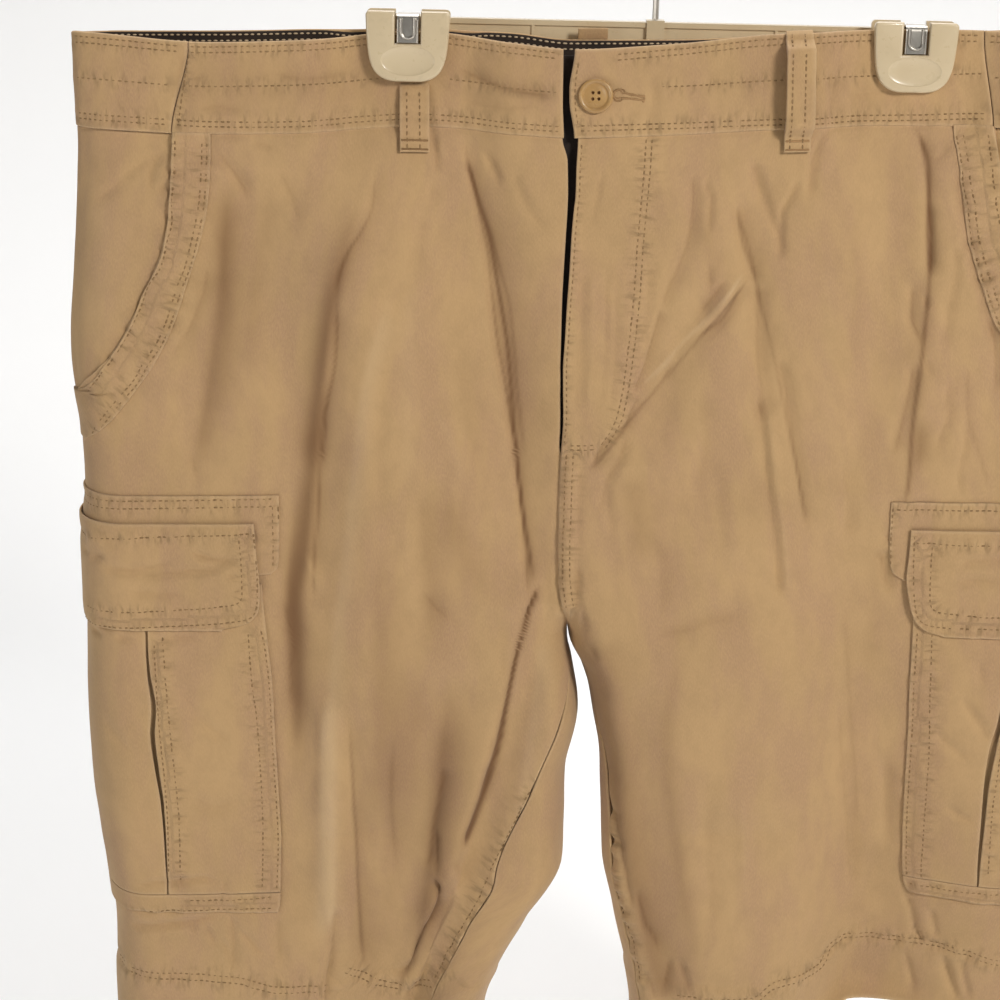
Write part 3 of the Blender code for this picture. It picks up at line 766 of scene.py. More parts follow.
class Relief:
    """Creases, puckers and crumple that every layer of cloth on one face shares."""

    BILLOW, BILLOW_CELL = 0.5, (21, 33)
    CRUMPLE, CRUMPLE_CELL = 0.22, (8.5, 13)
    RIPPLE_CELL = (4.6, 16)
    RIPPLE_SHIFT = (7.3, 3.1)  # from one row of stitches to the next, so that none is alike
    PUCKER, PULLED_IN = 1.8, 0.15
    GROOVE, GROOVE_WIDTH = 0.3, 0.9
    # Painted shade in the creases, for each millimetre of depth
    CREASE_SHADE = 0.2  # for each millimetre of depth
    SEAM_REACH, SEAM_SHIFT = 14, 97.0

    def __init__(
        self,
        face: Face,
        creases: Sequence[Crease],
        shadows: Sequence[Crease],
        rows: Sequence[StitchRow],
    ) -> None:
        """Keep what shapes the face.

        Args:
            face: front or back.
            creases: the creases, as listed.
            shadows: soft stretches of painted shade and painted light; their depth the shade.
            rows: the rows of stitches on the face.
        """
        self.face = face
        self.creases = creases
        self.shadows = shadows
        self.rows = [row for row in rows if row.face is face]
        seed = 11 if face is Face.FRONT else 23
        self.coarse, self.fine, self.wobble, self.ripple = (Noise(seed + k) for k in range(4))

    def at(self, x: Points, z: Points) -> Points:
        """Height of the shared relief, outwards, at places in x and level.

        Args:
            x: places across, in mm.
            z: places in height, in mm.

        Returns:
            Height at each place, in mm.
        """
        shape = x.shape
        x, z = x.ravel(), z.ravel()
        (broad, tall), (narrow, low) = self.BILLOW_CELL, self.CRUMPLE_CELL
        out = self.BILLOW * self.coarse.at(x / broad, z / tall)
        out += self.CRUMPLE * self.fine.at(x / narrow, z / low)
        for crease in self.creases:
            crease.add(x, z, out, self.wobble)
        for index, row in enumerate(self.rows):
            near, along, across = close_to(row.middle(), 3 * row.reach, x, z)
            if not len(near):
                continue
            fall = np.exp(-((across / row.reach) ** 2))
            (length, depth), (first, second) = self.RIPPLE_CELL, self.RIPPLE_SHIFT
            bend = self.ripple.at(along / length + first * index, across / depth + second * index)
            aside = np.abs(across) - abs(row.gap) / 2
            groove = np.exp(-((aside / self.GROOVE_WIDTH) ** 2))
            pucker = self.PUCKER * row.pucker * (fall * bend - self.PULLED_IN * fall)
            out[near] += pucker - self.GROOVE * groove
        return out.reshape(shape)

    def shade(self, x: Points, z: Points) -> Points:
        """Painted shade, above zero, in creases and soft dark stretches; painted light below zero.

        Args:
            x: places across, in mm.
            z: places in height, in mm.

        Returns:
            Shade at each place.
        """
        out = np.zeros(x.size)
        for crease in self.creases:
            crease.darken(x.ravel(), z.ravel(), out, self.CREASE_SHADE)
        for shadow in self.shadows:
            shadow.darken(x.ravel(), z.ravel(), out, 1.0)
        return np.clip(out, -0.5, 1)

    def seam(self, pieces: Sequence[str], x: Points, z: Points) -> Points:
        """Length along, distance across and strength of the nearest stitched seam.

        Args:
            pieces: pieces whose rows count.
            x: places' distances from centre front.
            z: their levels.

        Returns:
            One row of three numbers a place, the lengths in metres.
        """
        x, z = x.ravel(), z.ravel()
        found = np.zeros((len(x), 3))
        found[:, 1] = 0.03
        for index, row in enumerate(self.rows):
            if row.piece not in pieces:
                continue
            near, along, across = close_to(row.middle(), self.SEAM_REACH, x, z)
            if not len(near):
                continue
            strength = np.exp(-((across / (row.reach + abs(row.gap) / 2)) ** 2))
            closer = strength > found[near, 2]
            chosen = near[closer]
            found[chosen, 0] = (along[closer] + self.SEAM_SHIFT * index) * MM
            found[chosen, 1] = across[closer] * MM
            found[chosen, 2] = strength[closer]
        return found


def stations(length: float, pitch: float, edge: float = 1.3) -> Points:
    """Places from 0 to a length, close together at both ends, where an edge is rounded.

    Args:
        length: last place, in mm.
        pitch: distance between places away from the ends, in mm.
        edge: reach of the close places at each end, in mm.

    Returns:
        The places, in rising order.
    """
    ends = np.array([0.0, 0.12, 0.4, 0.75])
    middle = max(int((length - 2 * edge) / pitch), 1)
    while (middle + 2 * len(ends)) % COARSE:
        middle += 1
    inside = np.linspace(edge, length - edge, middle + 1)
    return np.concatenate([ends, inside, length - ends[::-1]])


def spread(reference: Points, start: float, end: float, edge: float = 1.3) -> Points:
    """The stations moved to run from start to end, with their ends kept as they are.

    Args:
        reference: stations from 0 to their own length.
        start: where the moved stations start, in mm.
        end: where they end, in mm.
        edge: reach of the close stations at each end, in mm.

    Returns:
        The moved stations, as many as in the reference.
    """
    length = abs(end - start)
    known = [0.0, edge, reference[-1] - edge, reference[-1]]
    return start + math.copysign(1, end - start) * np.interp(
        reference, known, [0.0, edge, length - edge, length]
    )


def least_near(values: Points, cells: int) -> Points:
    """The least of each value and its neighbours within so many cells."""
    for axis in (0, 1):
        padded = np.pad(values, [(cells, cells) if k == axis else (0, 0) for k in (0, 1)], "edge")
        count = values.shape[axis]
        shifted = [np.take(padded, range(k, k + count), axis=axis) for k in range(2 * cells + 1)]
        values = np.min(shifted, axis=0)
    return values


def world(points: Points) -> Points:
    """Metres from the hook, for millimetres from centre front."""
    return (np.asarray(points, float) - HOOK) * MM


def ease(value: Points) -> Points:
    """A smooth step from 0 to 1 as the value goes from 0 to 1."""
    value = np.clip(value, 0, 1)
    return value * value * (3 - 2 * value)


def shared_relief(distances: Points, x: Points, levels: Points) -> Points:
    """Height of the creases and puckers, passing from the front's to the back's at the side.

    Args:
        distances: distances from the side seam, negative on the back.
        x: places across, in mm.
        levels: places in height, in mm.

    Returns:
        Height at each place, in mm.
    """
    front = ease((distances + 10) / 20)
    out = np.zeros(x.shape)
    for face, share in ((Face.FRONT, front), (Face.BACK, 1 - front)):
        here = share > 0
        if here.any():
            out[here] += share[here] * RELIEFS[face].at(x[here], levels[here])
    return out


Height = Callable[[Points, Points, Points], Points]
Reach = Callable[[Points], Points]


@dataclass
class Cloth:
    """A piece of cloth laid on the form of one half, as a closed thin shell.

    levels and distances are its grid, rows by columns. lift is how far its outer side lies off
    the form, and shape adds to that at places in distance, x and level.
    """

    name: str
    form: Form
    levels: Points
    distances: Points
    lift: float
    wall: float = CLOTH
    soft: float = 0.75
    shape: Height | None = None
    seams: tuple[str, ...] = ()

    def edge_distance(self, levels: Points, distances: Points) -> Points:
        """Distance of places from the piece's nearest edge.

        Args:
            levels: places in height, in mm.
            distances: distances from the side seam, in mm.

        Returns:
            Distance to the nearest edge, in mm, and 0 outside the piece.
        """
        column = self.levels[:, 0]
        order = np.argsort(column)
        ends = [np.interp(levels, column[order], self.distances[order, k]) for k in (0, -1)]
        low, high = np.minimum(*ends), np.maximum(*ends)
        sides = np.minimum(distances - low, high - distances)
        rows = np.minimum(column.max() - levels, levels - column.min())
        return np.maximum(np.minimum(sides, rows), 0)

    def height(self, levels: Points, distances: Points) -> tuple[Points, Points, Points]:
        """Points, normals and the outer side's height over the form at places on the piece.

        Args:
            levels: places in height, in mm.
            distances: distances from the side seam, in mm.

        Returns:
            Points on the form, their normals, and the height of the outer side over them.
        """
        points, normals = self.form.read(levels, distances)
        x = points[..., 0]
        height = self.lift + shared_relief(distances, x, levels)
        if self.shape is not None:
            height = height + self.shape(distances, x, levels)
        height = height - self.rounding(self.edge_distance(levels, distances))
        return points, normals, height

    def rounding(self, inside: Points) -> Points:
        """How far the edge is rounded down at distances from it."""
        return self.soft * (1 - rounded(inside, self.soft))

    def at(self, levels: Points, distances: Points, above: float = 0.0) -> tuple[Points, Points]:
        """Points over the outer side of the piece, and the form's normals there."""
        points, normals, height = self.height(levels, distances)
        return points + normals * (height + above)[..., None], normals

    def build(self) -> bpy.types.Object:
        """The piece's mesh, with its UV map and its attributes.

        Returns:
            The mesh as an object in the scene.
        """
        points, normals, height = self.height(self.levels, self.distances)
        inside = self.edge_distance(self.levels, self.distances)
        rounding = self.rounding(inside)
        outer = points + normals * height[..., None]
        under = least_near(height + rounding, COARSE)[::COARSE, ::COARSE] - self.wall
        inner = points[::COARSE, ::COARSE] + normals[::COARSE, ::COARSE] * under[..., None]
        made = shell(self.name, outer, inner)
        flat = np.stack([self.distances, self.levels], axis=-1) * MM
        uv = np.concatenate([flat.reshape(-1, 2), flat[::COARSE, ::COARSE].reshape(-1, 2)])
        layer = made.data.uv_layers.new(name="cloth")
        corners = np.empty(len(made.data.loops), np.int32)
        made.data.loops.foreach_get("vertex_index", corners)
        layer.data.foreach_set("uv", uv[corners].ravel().astype(np.float32))
        names = self.seams or (self.name,)
        front, back = (RELIEFS[face].seam(names, points[..., 0], self.levels) for face in Face)
        seam = np.where(self.distances.ravel()[:, None] >= 0, front, back)
        self.attribute(made, "seam", "FLOAT_VECTOR", seam)
        # Painted shade and painted light of the creases and SHADOWS, kept for the finish's colour
        front, back = (RELIEFS[face].shade(points[..., 0], self.levels) for face in Face)
        share = ease((self.distances.ravel() + 10) / 20)
        self.attribute(made, "shade", "FLOAT", (front * share + back * (1 - share))[:, None])
        self.attribute(made, "edge", "FLOAT", inside.ravel()[:, None] * MM)
        return made

    def attribute(self, made: bpy.types.Object, name: str, kind: str, values: Points) -> None:
        """Store values at the outer side's points. The inner side has 0, or 0.05 as its edge.

        Args:
            made: object of the piece.
            name: name of the attribute, as the finish reads it.
            kind: data type of the attribute.
            values: one value for each point of the outer side.
        """
        layer = made.data.attributes.new(name, kind, "POINT")
        every = np.zeros((len(made.data.vertices), values.shape[1]), np.float32)
        every[: len(values)] = values
        if name == "edge":
            every[len(values) :] = 0.05
        key = "vector" if kind == "FLOAT_VECTOR" else "value"
        layer.data.foreach_set(key, every.ravel())

    def flat_area(self) -> tuple[float, float, float]:
        """Width, length and area of the cut, in metres.

        Returns:
            The three measures, in that order.
        """
        widths = np.abs(self.distances[:, -1] - self.distances[:, 0])
        rows = np.abs(self.levels[:, 0])
        length = abs(rows[0] - rows[-1])
        area = abs(np.trapz(widths, self.levels[:, 0]))
        if self.wall > CLOTH:  # folded cloth that may stand off, measured along itself
            middle = self.distances.shape[1] // 2
            points, _ = self.at(self.levels[:, middle], self.distances[:, middle])
            own = np.linalg.norm(np.diff(points, axis=0), axis=1).sum()
            return (widths.max() + self.wall) * MM, own * MM, area * own / length * MM * MM
        return widths.max() * MM, length * MM, area * MM * MM


def shell(name: str, outer: Points, inner: Points) -> bpy.types.Object:
    """A closed shell between a fine outer grid and an inner one with fewer cells.

    Args:
        name: the object's name.
        outer: outer grid of points.
        inner: inner grid, one cell for COARSE by COARSE of the outer one.

    Returns:
        The object, its faces outwards.
    """

    def cells(count: int, across: int, first: int) -> tuple[Points, Points]:
        """Indices of a grid and of its four-sided cells.

        Args:
            count: number of rows of points.
            across: number of points in a row.
            first: index of the first point.

        Returns:
            The indices as a grid, and one row of four for each cell.
        """
        index = np.arange(count * across).reshape(count, across) + first
        corners = (index[:-1, :-1], index[1:, :-1], index[1:, 1:], index[:-1, 1:])
        return index, np.stack([corner.ravel() for corner in corners], axis=1)

    def around(index: Points) -> Points:
        """Indices round the edge of a grid, back to the first.

        Args:
            index: indices of the points as a grid.

        Returns:
            Indices along the edge.
        """
        sides = [index[0, :-1], index[:-1, -1], index[-1, :0:-1], index[::-1, 0][:-1]]
        ring = np.concatenate(sides)
        return np.append(ring, ring[0])

    fine, skin = cells(*outer.shape[:2], 0)
    plain, lining = cells(*inner.shape[:2], fine.size)
    ring, under = around(fine), around(plain)
    step = (len(ring) - 1) // (len(under) - 1)
    held = under[np.arange(len(ring) - 1) // step]
    rim = np.stack([ring[:-1], ring[1:], held], axis=1)
    closing = np.stack([ring[step::step], under[1:], under[:-1]], axis=1)
    faces = skin.tolist() + lining[:, ::-1].tolist() + rim.tolist() + closing.tolist()
    mesh = bpy.data.meshes.new(name)
    points = np.concatenate([outer.reshape(-1, 3), inner.reshape(-1, 3)])
    mesh.from_pydata(world(points).tolist(), [], faces)
    made = linked(name, mesh)
    face_outwards(made)
    mesh.shade_smooth()
    return made


def linked(name: str, data: bpy.types.ID) -> bpy.types.Object:
    """A new object of the data, in the scene.

    Args:
        name: name of the object.
        data: mesh or curve that the object shows.

    Returns:
        The object.
    """
    made = bpy.data.objects.new(name, data)
    bpy.context.scene.collection.objects.link(made)
    return made


def face_outwards(made: bpy.types.Object) -> None:
    """Turn a closed mesh's faces outwards.

    Args:
        made: object of the mesh.
    """
    work = bmesh.new()
    work.from_mesh(made.data)
    bmesh.ops.recalc_face_normals(work, faces=work.faces)
    work.to_mesh(made.data)
    work.free()


# Creases of the front, by region: depth, width left, width right, line, power, fade
BAND_CREASES = (
    (0.9, 1.2, 2.6, ((-192, 1), (-196, -18), (-199.5, -35), (-200.5, -40)), 1.4),
    (0.9, 3, 4, ((-188, -30), (-178, -29), (-163, -31.5))),
    (0.5, 2, 2, ((-190, -13.5), (-184, -15))),
    (0.7, 3, 5, ((-150, -12), (-130, -16), (-112, -14))),
    (1.5, 2.5, 5, ((-58, -12.5), (-46, -17), (-30, -20), (-8, -21.5)), 1.6),
    (0.6, 3, 3, ((-58, -28), (-36, -30), (-16, -26))),
    (0.7, 2.5, 3.5, ((40, -10), (41, -20), (40, -32), (39, -42))),
    (0.5, 3, 3, ((62, -14), (80, -18), (98, -16))),
    (0.8, 3, 4, ((128, -12), (131, -24), (128, -40))),
    (0.6, 3, 3, ((136, -30), (150, -27), (170, -29))),
    (-0.6, 3, 3, ((182, -20), (196, -16), (204, -18))),
)
HIP_CREASES = (
    (1.6, 3.0, 5.0, ((-180, -50), (-172, -60), (-166, -70), (-162.5, -78))),
    (0.9, 2.0, 3.5, ((-178, -44.5), (-172, -44), (-165, -46.5))),
    (0.9, 2.0, 3.0, ((-163, -46), (-150, -50), (-146, -52))),
    (1.1, 4.0, 5.0, ((-148, -60), (-141, -75), (-137, -90))),
    (1.0, 1.5, 4.0, ((-184, -110), (-186, -122), (-190, -134), (-199, -150), (-206, -158)), 1.4),
    (2.2, 14.0, 14.0, ((-172, -60), (-178, -130), (-188, -190), (-195, -225)), 2.0, 30),
    (0.9, 2.0, 3.0, ((-197, -205), (-192, -225), (-190, -228))),
    (0.8, 2.0, 3.0, ((-201, -52), (-218, -60), (-232, -72), (-243, -80)), 1.5),
    (1.1, 1.5, 2.0, ((-205, -53), (-211, -62), (-212, -72), (-211, -75)), 1.3),
    (0.8, 1.2, 1.5, ((-204, -71), (-208, -72))),
    (0.8, 1.5, 1.5, ((-225, -150), (-219, -157))),
    (0.8, 1.5, 1.5, ((-233, -164), (-229, -168))),
    (0.8, 1.5, 1.5, ((-240, -178), (-232, -176))),
    (1.4, 3.0, 6.0, ((176, -45), (178, -60), (180, -75), (182, -95), (183, -118)), 1.5),
    (1.7, 1.1, 2.6, ((180, -78), (182, -95), (182.5, -108), (183, -118)), 1.3),
    (0.9, 1.5, 2.5, ((180.5, -125), (181.5, -135))),
    (1.6, 3.0, 6.0, ((174, -118), (174, -137), (178, -148), (179, -153))),
    (1.3, 3.0, 5.0, ((176.5, -160), (175.5, -170), (172, -190), (168, -210))),
    (0.8, 2.0, 2.5, ((183, -158), (184.5, -170))),
    (0.9, 3.0, 3.0, ((195, -98), (195.5, -115), (194, -125), (192, -145), (190.5, -155))),
    (1.1, 2.5, 3.5, ((195, -168), (194, -180), (192.5, -190))),
    (1.1, 2.5, 3.0, ((197, -180), (195, -190), (192, -200), (190, -210))),
    (0.8, 1.3, 2.0, ((204, -190), (204.5, -205), (202, -215), (202, -232)), 1.4),
    (2.0, 9.0, 9.0, ((182, -186), (182, -205), (180, -222)), 2.0, 16),
    (0.6, 2.0, 2.0, ((181, -62), (192, -50))),
    (1.2, 3.0, 3.0, ((194, -62), (196, -80), (200.5, -95), (204, -112), (210, -130), (217, -150))),
    (1.6, 2.2, 3.5, ((214, -138), (217, -150), (218.5, -162), (219, -178)), 1.5),
)
LEFT_CREASES = (
    (1.5, 1.2, 2.6, ((-71.5, -40), (-68.5, -55), (-68, -67)), 1.3),
    (0.9, 3.0, 3.0, ((-70, -68), (-71, -82))),
    (-0.8, 2.0, 2.0, ((-66, -46), (-65.5, -62))),
    (0.6, 3.0, 4.0, ((-80, -84), (-76, -92), (-78, -100), (-80, -118), (-88, -128), (-90, -142))),
    (1.9, 2.2, 15.0,
     ((-98, -56), (-100, -80), (-105, -92), (-113, -104), (-118, -118), (-119, -134)), 1.7, 24),
    (2.1, 2.2, 15.0, ((-118.5, -124), (-119, -134), (-121, -160), (-127, -190), (-130, -226)),
     1.7, 20),
    (2.0, 2.0, 10.0, ((-129.5, -214), (-131, -240), (-133, -262), (-135, -292)), 1.7, 18),
    (-1.0, 3.0, 3.0, ((-137, -262), (-135, -270), (-129, -287))),
    (0.7, 3.0, 7.0, ((-150, -286), (-147, -300), (-145, -312), (-147, -326), (-147, -348)), 1.6),
    (1.9, 8.0, 9.0, ((-138, -215), (-143, -250), (-146, -290), (-146, -335), (-145, -395)), 2.0,
     75),
    (2.2, 1.8, 14.0, ((-55, -44), (-54, -50), (-50, -70), (-46, -90), (-42, -110), (-40, -134)),
     1.6, 20),
    (2.6, 1.8, 17.0, ((-41, -118), (-37.5, -150), (-34, -170), (-31, -190), (-29.5, -204)), 1.6,
     18),
    (2.2, 1.8, 10.0, ((-30, -190), (-26.5, -220), (-24.5, -240), (-22.5, -262), (-20.5, -288)),
     1.6, 16),
    (1.1, 2.0, 3.0, ((-46, -50), (-38, -66), (-36, -72))),
    (0.7, 3.0, 3.0, ((-30, -60), (-22, -80), (-12, -92))),
    (-0.9, 6.0, 6.0, ((-72, -182), (-62, -200), (-57, -215), (-50, -228)), 2.0, 14),
    (0.8, 3.0, 4.0, ((-77, -280), (-70, -290), (-62, -298))),
    (0.9, 4.0, 4.0, ((-35, -298), (-34, -332))),
    (0.9, 5.0, 5.0, ((-92, -150), (-96, -180), (-99, -214), (-98, -250)), 2.0, 24),
    (-0.8, 6.0, 6.0, ((-82, -230), (-84, -262), (-80, -300)), 2.0, 20),
)
FLY_CREASES = (
    (1.1, 1.2, 1.4, ((2, -44.5), (6.5, -49)), 1.4),
    (0.5, 2.0, 2.0, ((16, -58), (13, -72), (10, -90))),
    (0.6, 2.0, 2.0, ((5, -112), (5, -150), (3, -187))),
    (0.6, 2.0, 2.0, ((18, -112), (18, -150), (16, -187))),
    (0.6, 2.0, 2.0, ((23, -112), (23, -150), (21, -187))),
    (-0.5, 2.0, 2.0, ((11, -112), (11, -150), (9, -187))),
    (0.5, 1.6, 1.6, ((2, -127), (14, -128), (26, -130))),
    (0.7, 1.1, 1.1, ((-3.7, -190), (-5, -220), (-6, -260), (-5.6, -280), (-2, -300)), 1.3),
    (0.8, 1.2, 1.2, ((5.5, -213), (4.5, -255), (3, -286)), 1.3),
    (1.6, 1.2, 2.0, ((5.0, -266), (4.0, -284), (2.8, -302)), 1.3),
    (-0.5, 2.5, 2.5, ((0.5, -210), (-0.5, -250), (-1.5, -288))),
)
RIGHT_CREASES = (
    (1.6, 3.5, 5.0, ((61, -62), (61.5, -80), (60, -95), (55, -110), (50, -122), (46, -135)), 1.8),
    (1.9, 2.0, 4.5, ((47, -130), (43, -148), (39.5, -162), (35, -175), (34, -181)), 1.5),
    (1.8, 1.5, 3.5,
     ((38, -176), (35, -182), (31, -190), (30, -193), (21, -200), (16, -207), (10, -217)), 1.4),
    (-1.6, 4.0, 4.0, ((42, -172), (60, -152), (78, -130), (86, -114)), 2.0, 14),
    (1.3, 3.0, 3.0, ((64, -139), (75, -125), (80, -117))),
    (1.5, 3.0, 3.5, ((45, -172), (50, -166), (58, -153), (78, -138), (87, -121))),
    (1.2, 3.0, 3.0, ((31, -198), (27, -210), (20, -222), (17, -235), (15, -242))),
    (0.8, 2.5, 2.5, ((20, -225), (22, -252))),
    (1.9, 3.0, 4.5, ((84, -78), (87, -98), (91, -110), (95, -122)), 1.7),
    (1.5, 4.0, 5.0, ((95, -118), (96, -145), (97, -160), (98.5, -175), (100, -192)), 2.0),
    (1.1, 2.0, 2.0, ((69, -63), (68, -70), (70.5, -75), (70, -96))),
    (0.8, 2.0, 2.0, ((70, -108), (71, -126))),
    (1.3, 2.5, 3.0, ((90, -56), (94, -70), (98, -80), (101, -88), (105, -95), (106, -109))),
    (1.3, 1.4, 2.4, ((115, -66), (110, -77), (106, -85), (107, -95)), 1.4),
    (1.2, 2.0, 3.0, ((126, -46), (121, -60), (120, -70), (119.5, -79))),
    (0.8, 1.6, 1.6, ((131, -44), (122, -50))),
    (0.9, 3.5, 3.5, ((40, -106), (39, -135), (36, -151))),
    (1.2, 3.5, 2.0, ((97, -178), (100, -195), (102, -215), (105, -235), (108, -255), (111, -286))),
    (-1.1, 3.0, 3.0,
     ((101, -180), (104, -200), (106, -215), (109, -235), (112, -255), (115, -285)), 2.0, 14),
    (1.2, 2.5, 3.5,
     ((107, -158), (112, -180), (115, -200), (118, -215), (120, -230), (124, -250))),
    (1.2, 1.6, 2.4, ((5, -284), (8, -300), (9, -307)), 1.5),
    (0.7, 2.0, 2.0, ((10, -310), (16, -321))),
    (1.3, 7.0, 9.0, ((42, -306), (60, -302), (75, -297), (96, -295)), 2.0, 14),
    (1.2, 9.0, 12.0, ((46, -250), (50, -275), (48, -302)), 2.0, 22),
    (1.0, 4.0, 5.0, ((140, -213), (146, -240), (144, -256))),
    (0.9, 6.0, 6.0, ((66, -168), (70, -200), (66, -236)), 2.0, 22),
    (-0.7, 6.0, 6.0, ((84, -205), (86, -240), (82, -275)), 2.0, 22),
)
LEFT_CARGO_CREASES = (
    (0.8, 2.0, 2.5, ((-254, -262), (-250, -265))),
    (1.0, 2.0, 2.5, ((-250, -266), (-240, -263))),
    (1.1, 2.5, 3.0, ((-245, -268), (-230, -270), (-215, -268), (-205, -265))),
    (1.5, 1.8, 3.0, ((-198, -258), (-193, -262), (-180, -265), (-171, -264)), 1.6),
    (1.2, 2.0, 3.0, ((-225, -274), (-205, -271), (-190, -270), (-178, -267))),
    (0.9, 2.0, 2.5, ((-232, -280), (-228, -282), (-205, -283), (-203, -290))),
    (0.8, 1.5, 2.0, ((-180, -271), (-172, -275))),
    (1.0, 1.5, 2.5, ((-253, -306), (-245, -308))),
    (0.9, 1.5, 2.5, ((-240, -307), (-228, -307.5))),
    (0.9, 1.5, 2.5, ((-220, -309), (-200, -306.5), (-193, -306.5))),
    (1.2, 2.0, 2.5,
     ((-235, -450), (-220, -446), (-212, -446), (-204, -445), (-197, -443.5), (-188, -447.5))),
    (1.0, 1.2, 1.6, ((-183, -441), (-185.5, -448), (-188, -457))),
    (1.2, 2.0, 3.0, ((-240, -475), (-205, -471), (-188, -466))),
    (0.7, 3.0, 4.0, ((-205, -330), (-195, -352), (-180, -364))),
    (0.7, 4.0, 4.0, ((-202, -395), (-188, -402), (-174, -396))),
    (0.6, 3.0, 3.0, ((-246, -350), (-236, -366), (-228, -372))),
)
RIGHT_CARGO_CREASES = (
    (0.9, 2.0, 2.5, ((193, -253), (194, -258), (189, -264), (188.5, -272))),
    (1.1, 2.5, 3.0, ((202, -268), (216, -265), (232, -265))),
    (0.9, 2.5, 3.0, ((200, -278), (212, -276), (228, -277))),
    (1.3, 2.5, 3.5, ((160, -260), (165, -268), (168, -280), (172, -286))),
    (1.0, 2.5, 3.0, ((207, -338), (217, -352), (226, -366))),
    (0.8, 2.0, 2.5, ((216, -318), (220, -336))),
    (0.9, 2.5, 3.0, ((195, -360), (206, -370), (217, -378))),
    (0.7, 2.0, 2.5, ((204, -402), (213, -411), (222, -414))),
    (1.2, 3.0, 4.0, ((236, -318), (246, -345), (250, -380), (247, -420)), 2.0, 20),
)
LEG_CREASES = (
    (2.2, 5.0, 1.6,
     ((-14, -279), (-22, -301), (-29, -331), (-34, -362), (-41, -389), (-49, -414), (-55, -430)),
     1.5, 10),
    (1.3, 1.8, 3.0, ((-184, -464), (-182.5, -473), (-182, -485), (-183, -502)), 1.6),
    (1.0, 1.8, 2.5, ((-197, -469), (-196, -475), (-193, -483), (-191, -488))),
    (0.9, 1.5, 2.0, ((-190, -479), (-186, -487), (-184, -495))),
    (0.8, 1.5, 2.0, ((-205.5, -470), (-202, -478))),
    (1.1, 2.0, 3.0, ((-180, -475), (-175, -480), (-168, -489), (-163, -491.5))),
    (1.4, 5.0, 5.0, ((-157, -462), (-157, -480), (-156, -500)), 2.0, 14),
    (-2.2, 7.0, 6.0, ((-128, -336), (-128, -380), (-128, -430), (-129, -482)), 2.0, 26),
    (1.8, 1.2, 5.0, ((-125.5, -462), (-128, -490), (-131, -508), (-133, -522)), 1.4, 8),
    (2.4, 5.0, 9.0, ((-117, -340), (-114, -400), (-112, -460), (-110, -515)), 2.0, 30),
    (1.4, 2.2, 4.0,
     ((-66, -381), (-68.5, -398), (-71, -410), (-73, -419), (-74, -430), (-76.5, -443)), 1.5),
    (1.0, 1.5, 2.0, ((-71, -418), (-71, -437), (-70.5, -449)), 1.5),
    (2.6, 3.5, 2.0,
     ((-73, -447), (-68, -463), (-72, -475), (-78, -482), (-82, -492), (-84, -503), (-95, -514)),
     1.5),
    (-1.6, 3.5, 4.0, ((-62, -438), (-60, -460), (-70, -485), (-80, -505), (-90, -522)), 2.0, 12),
    (1.0, 5.0, 5.0, ((-92, -360), (-94, -400), (-92, -450)), 2.0, 26),
    (1.2, 3.0, 5.0,
     ((146, -343), (149, -375), (152, -400), (155, -420), (157, -440), (160, -467)), 2.0, 22),
    (1.0, 3.0, 4.0, ((172, -378), (175, -410), (176, -442)), 2.0, 18),
    (1.3, 1.4, 2.4, ((187, -464), (192, -475), (194, -487), (200, -499)), 1.5),
    (0.9, 1.8, 2.2, ((201, -470), (206, -492))),
    (0.9, 1.8, 2.2, ((190, -502), (194, -514), (197, -529))),
    (1.5, 2.0, 3.0, ((209, -500), (217, -520), (221, -528)), 1.6),
    (1.0, 1.5, 2.0, ((218, -498), (226, -525))),
    (1.3, 2.0, 3.0, ((25, -408), (29.5, -436), (32, -444), (34, -455), (37, -467)), 1.6),
    (1.2, 1.8, 3.0, ((40, -453), (44, -475), (48, -482), (52, -494)), 1.6),
    (1.1, 1.8, 2.4, ((58, -496), (57, -508), (55, -520))),
    (1.0, 1.8, 2.4, ((62, -496), (70, -520))),
    (0.9, 1.6, 2.0, ((40, -503), (47, -512), (51, -524))),
    (-0.9, 5.0, 5.0, ((92, -380), (96, -420), (98, -470)), 2.0, 30),
    (0.9, 6.0, 6.0, ((74, -380), (78, -430), (82, -490)), 2.0, 30),
)
BACK_CREASES = (
    (1.6, 3.0, 6.0, ((-96, -58), (-92, -100), (-96, -150), (-90, -196)), 1.6, 24),
    (1.4, 4.0, 4.0, ((-150, -60), (-158, -110), (-152, -170)), 2.0, 24),
    (1.2, 3.0, 3.0, ((-40, -70), (-48, -120), (-36, -180), (-22, -230)), 2.0, 20),
    (1.3, 4.0, 3.0, ((-20, -250), (-44, -276), (-80, -300), (-120, -306)), 2.0, 24),
    (1.5, 3.0, 6.0, ((60, -56), (66, -100), (58, -150), (62, -204)), 1.6, 24),
    (1.3, 3.5, 3.5, ((110, -60), (118, -112), (112, -170)), 2.0, 24),
    (1.2, 3.0, 3.0, ((20, -240), (48, -270), (86, -292), (124, -296)), 2.0, 24),
    (1.4, 3.0, 5.0, ((190, -64), (184, -110), (190, -160)), 1.8, 22),
    (1.6, 4.0, 8.0, ((-104, -330), (-98, -400), (-106, -470), (-102, -540)), 1.8, 30),
    (1.2, 4.0, 4.0, ((-60, -350), (-66, -420), (-72, -500)), 2.0, 30),
    (1.5, 8.0, 4.0, ((92, -330), (98, -400), (90, -470), (96, -540)), 1.8, 30),
    (1.2, 4.0, 4.0, ((150, -340), (146, -420), (152, -500)), 2.0, 30),
    (-1.2, 6.0, 6.0, ((-130, -220), (-126, -280), (-132, -350)), 2.0, 30),
    (-1.2, 6.0, 6.0, ((140, -220), (136, -290), (144, -360)), 2.0, 30),
    (1.0, 2.0, 3.0, ((-206, -486), (-200, -510), (-204, -534))),
    (1.0, 2.0, 3.0, ((210, -486), (204, -512), (208, -534))),
)
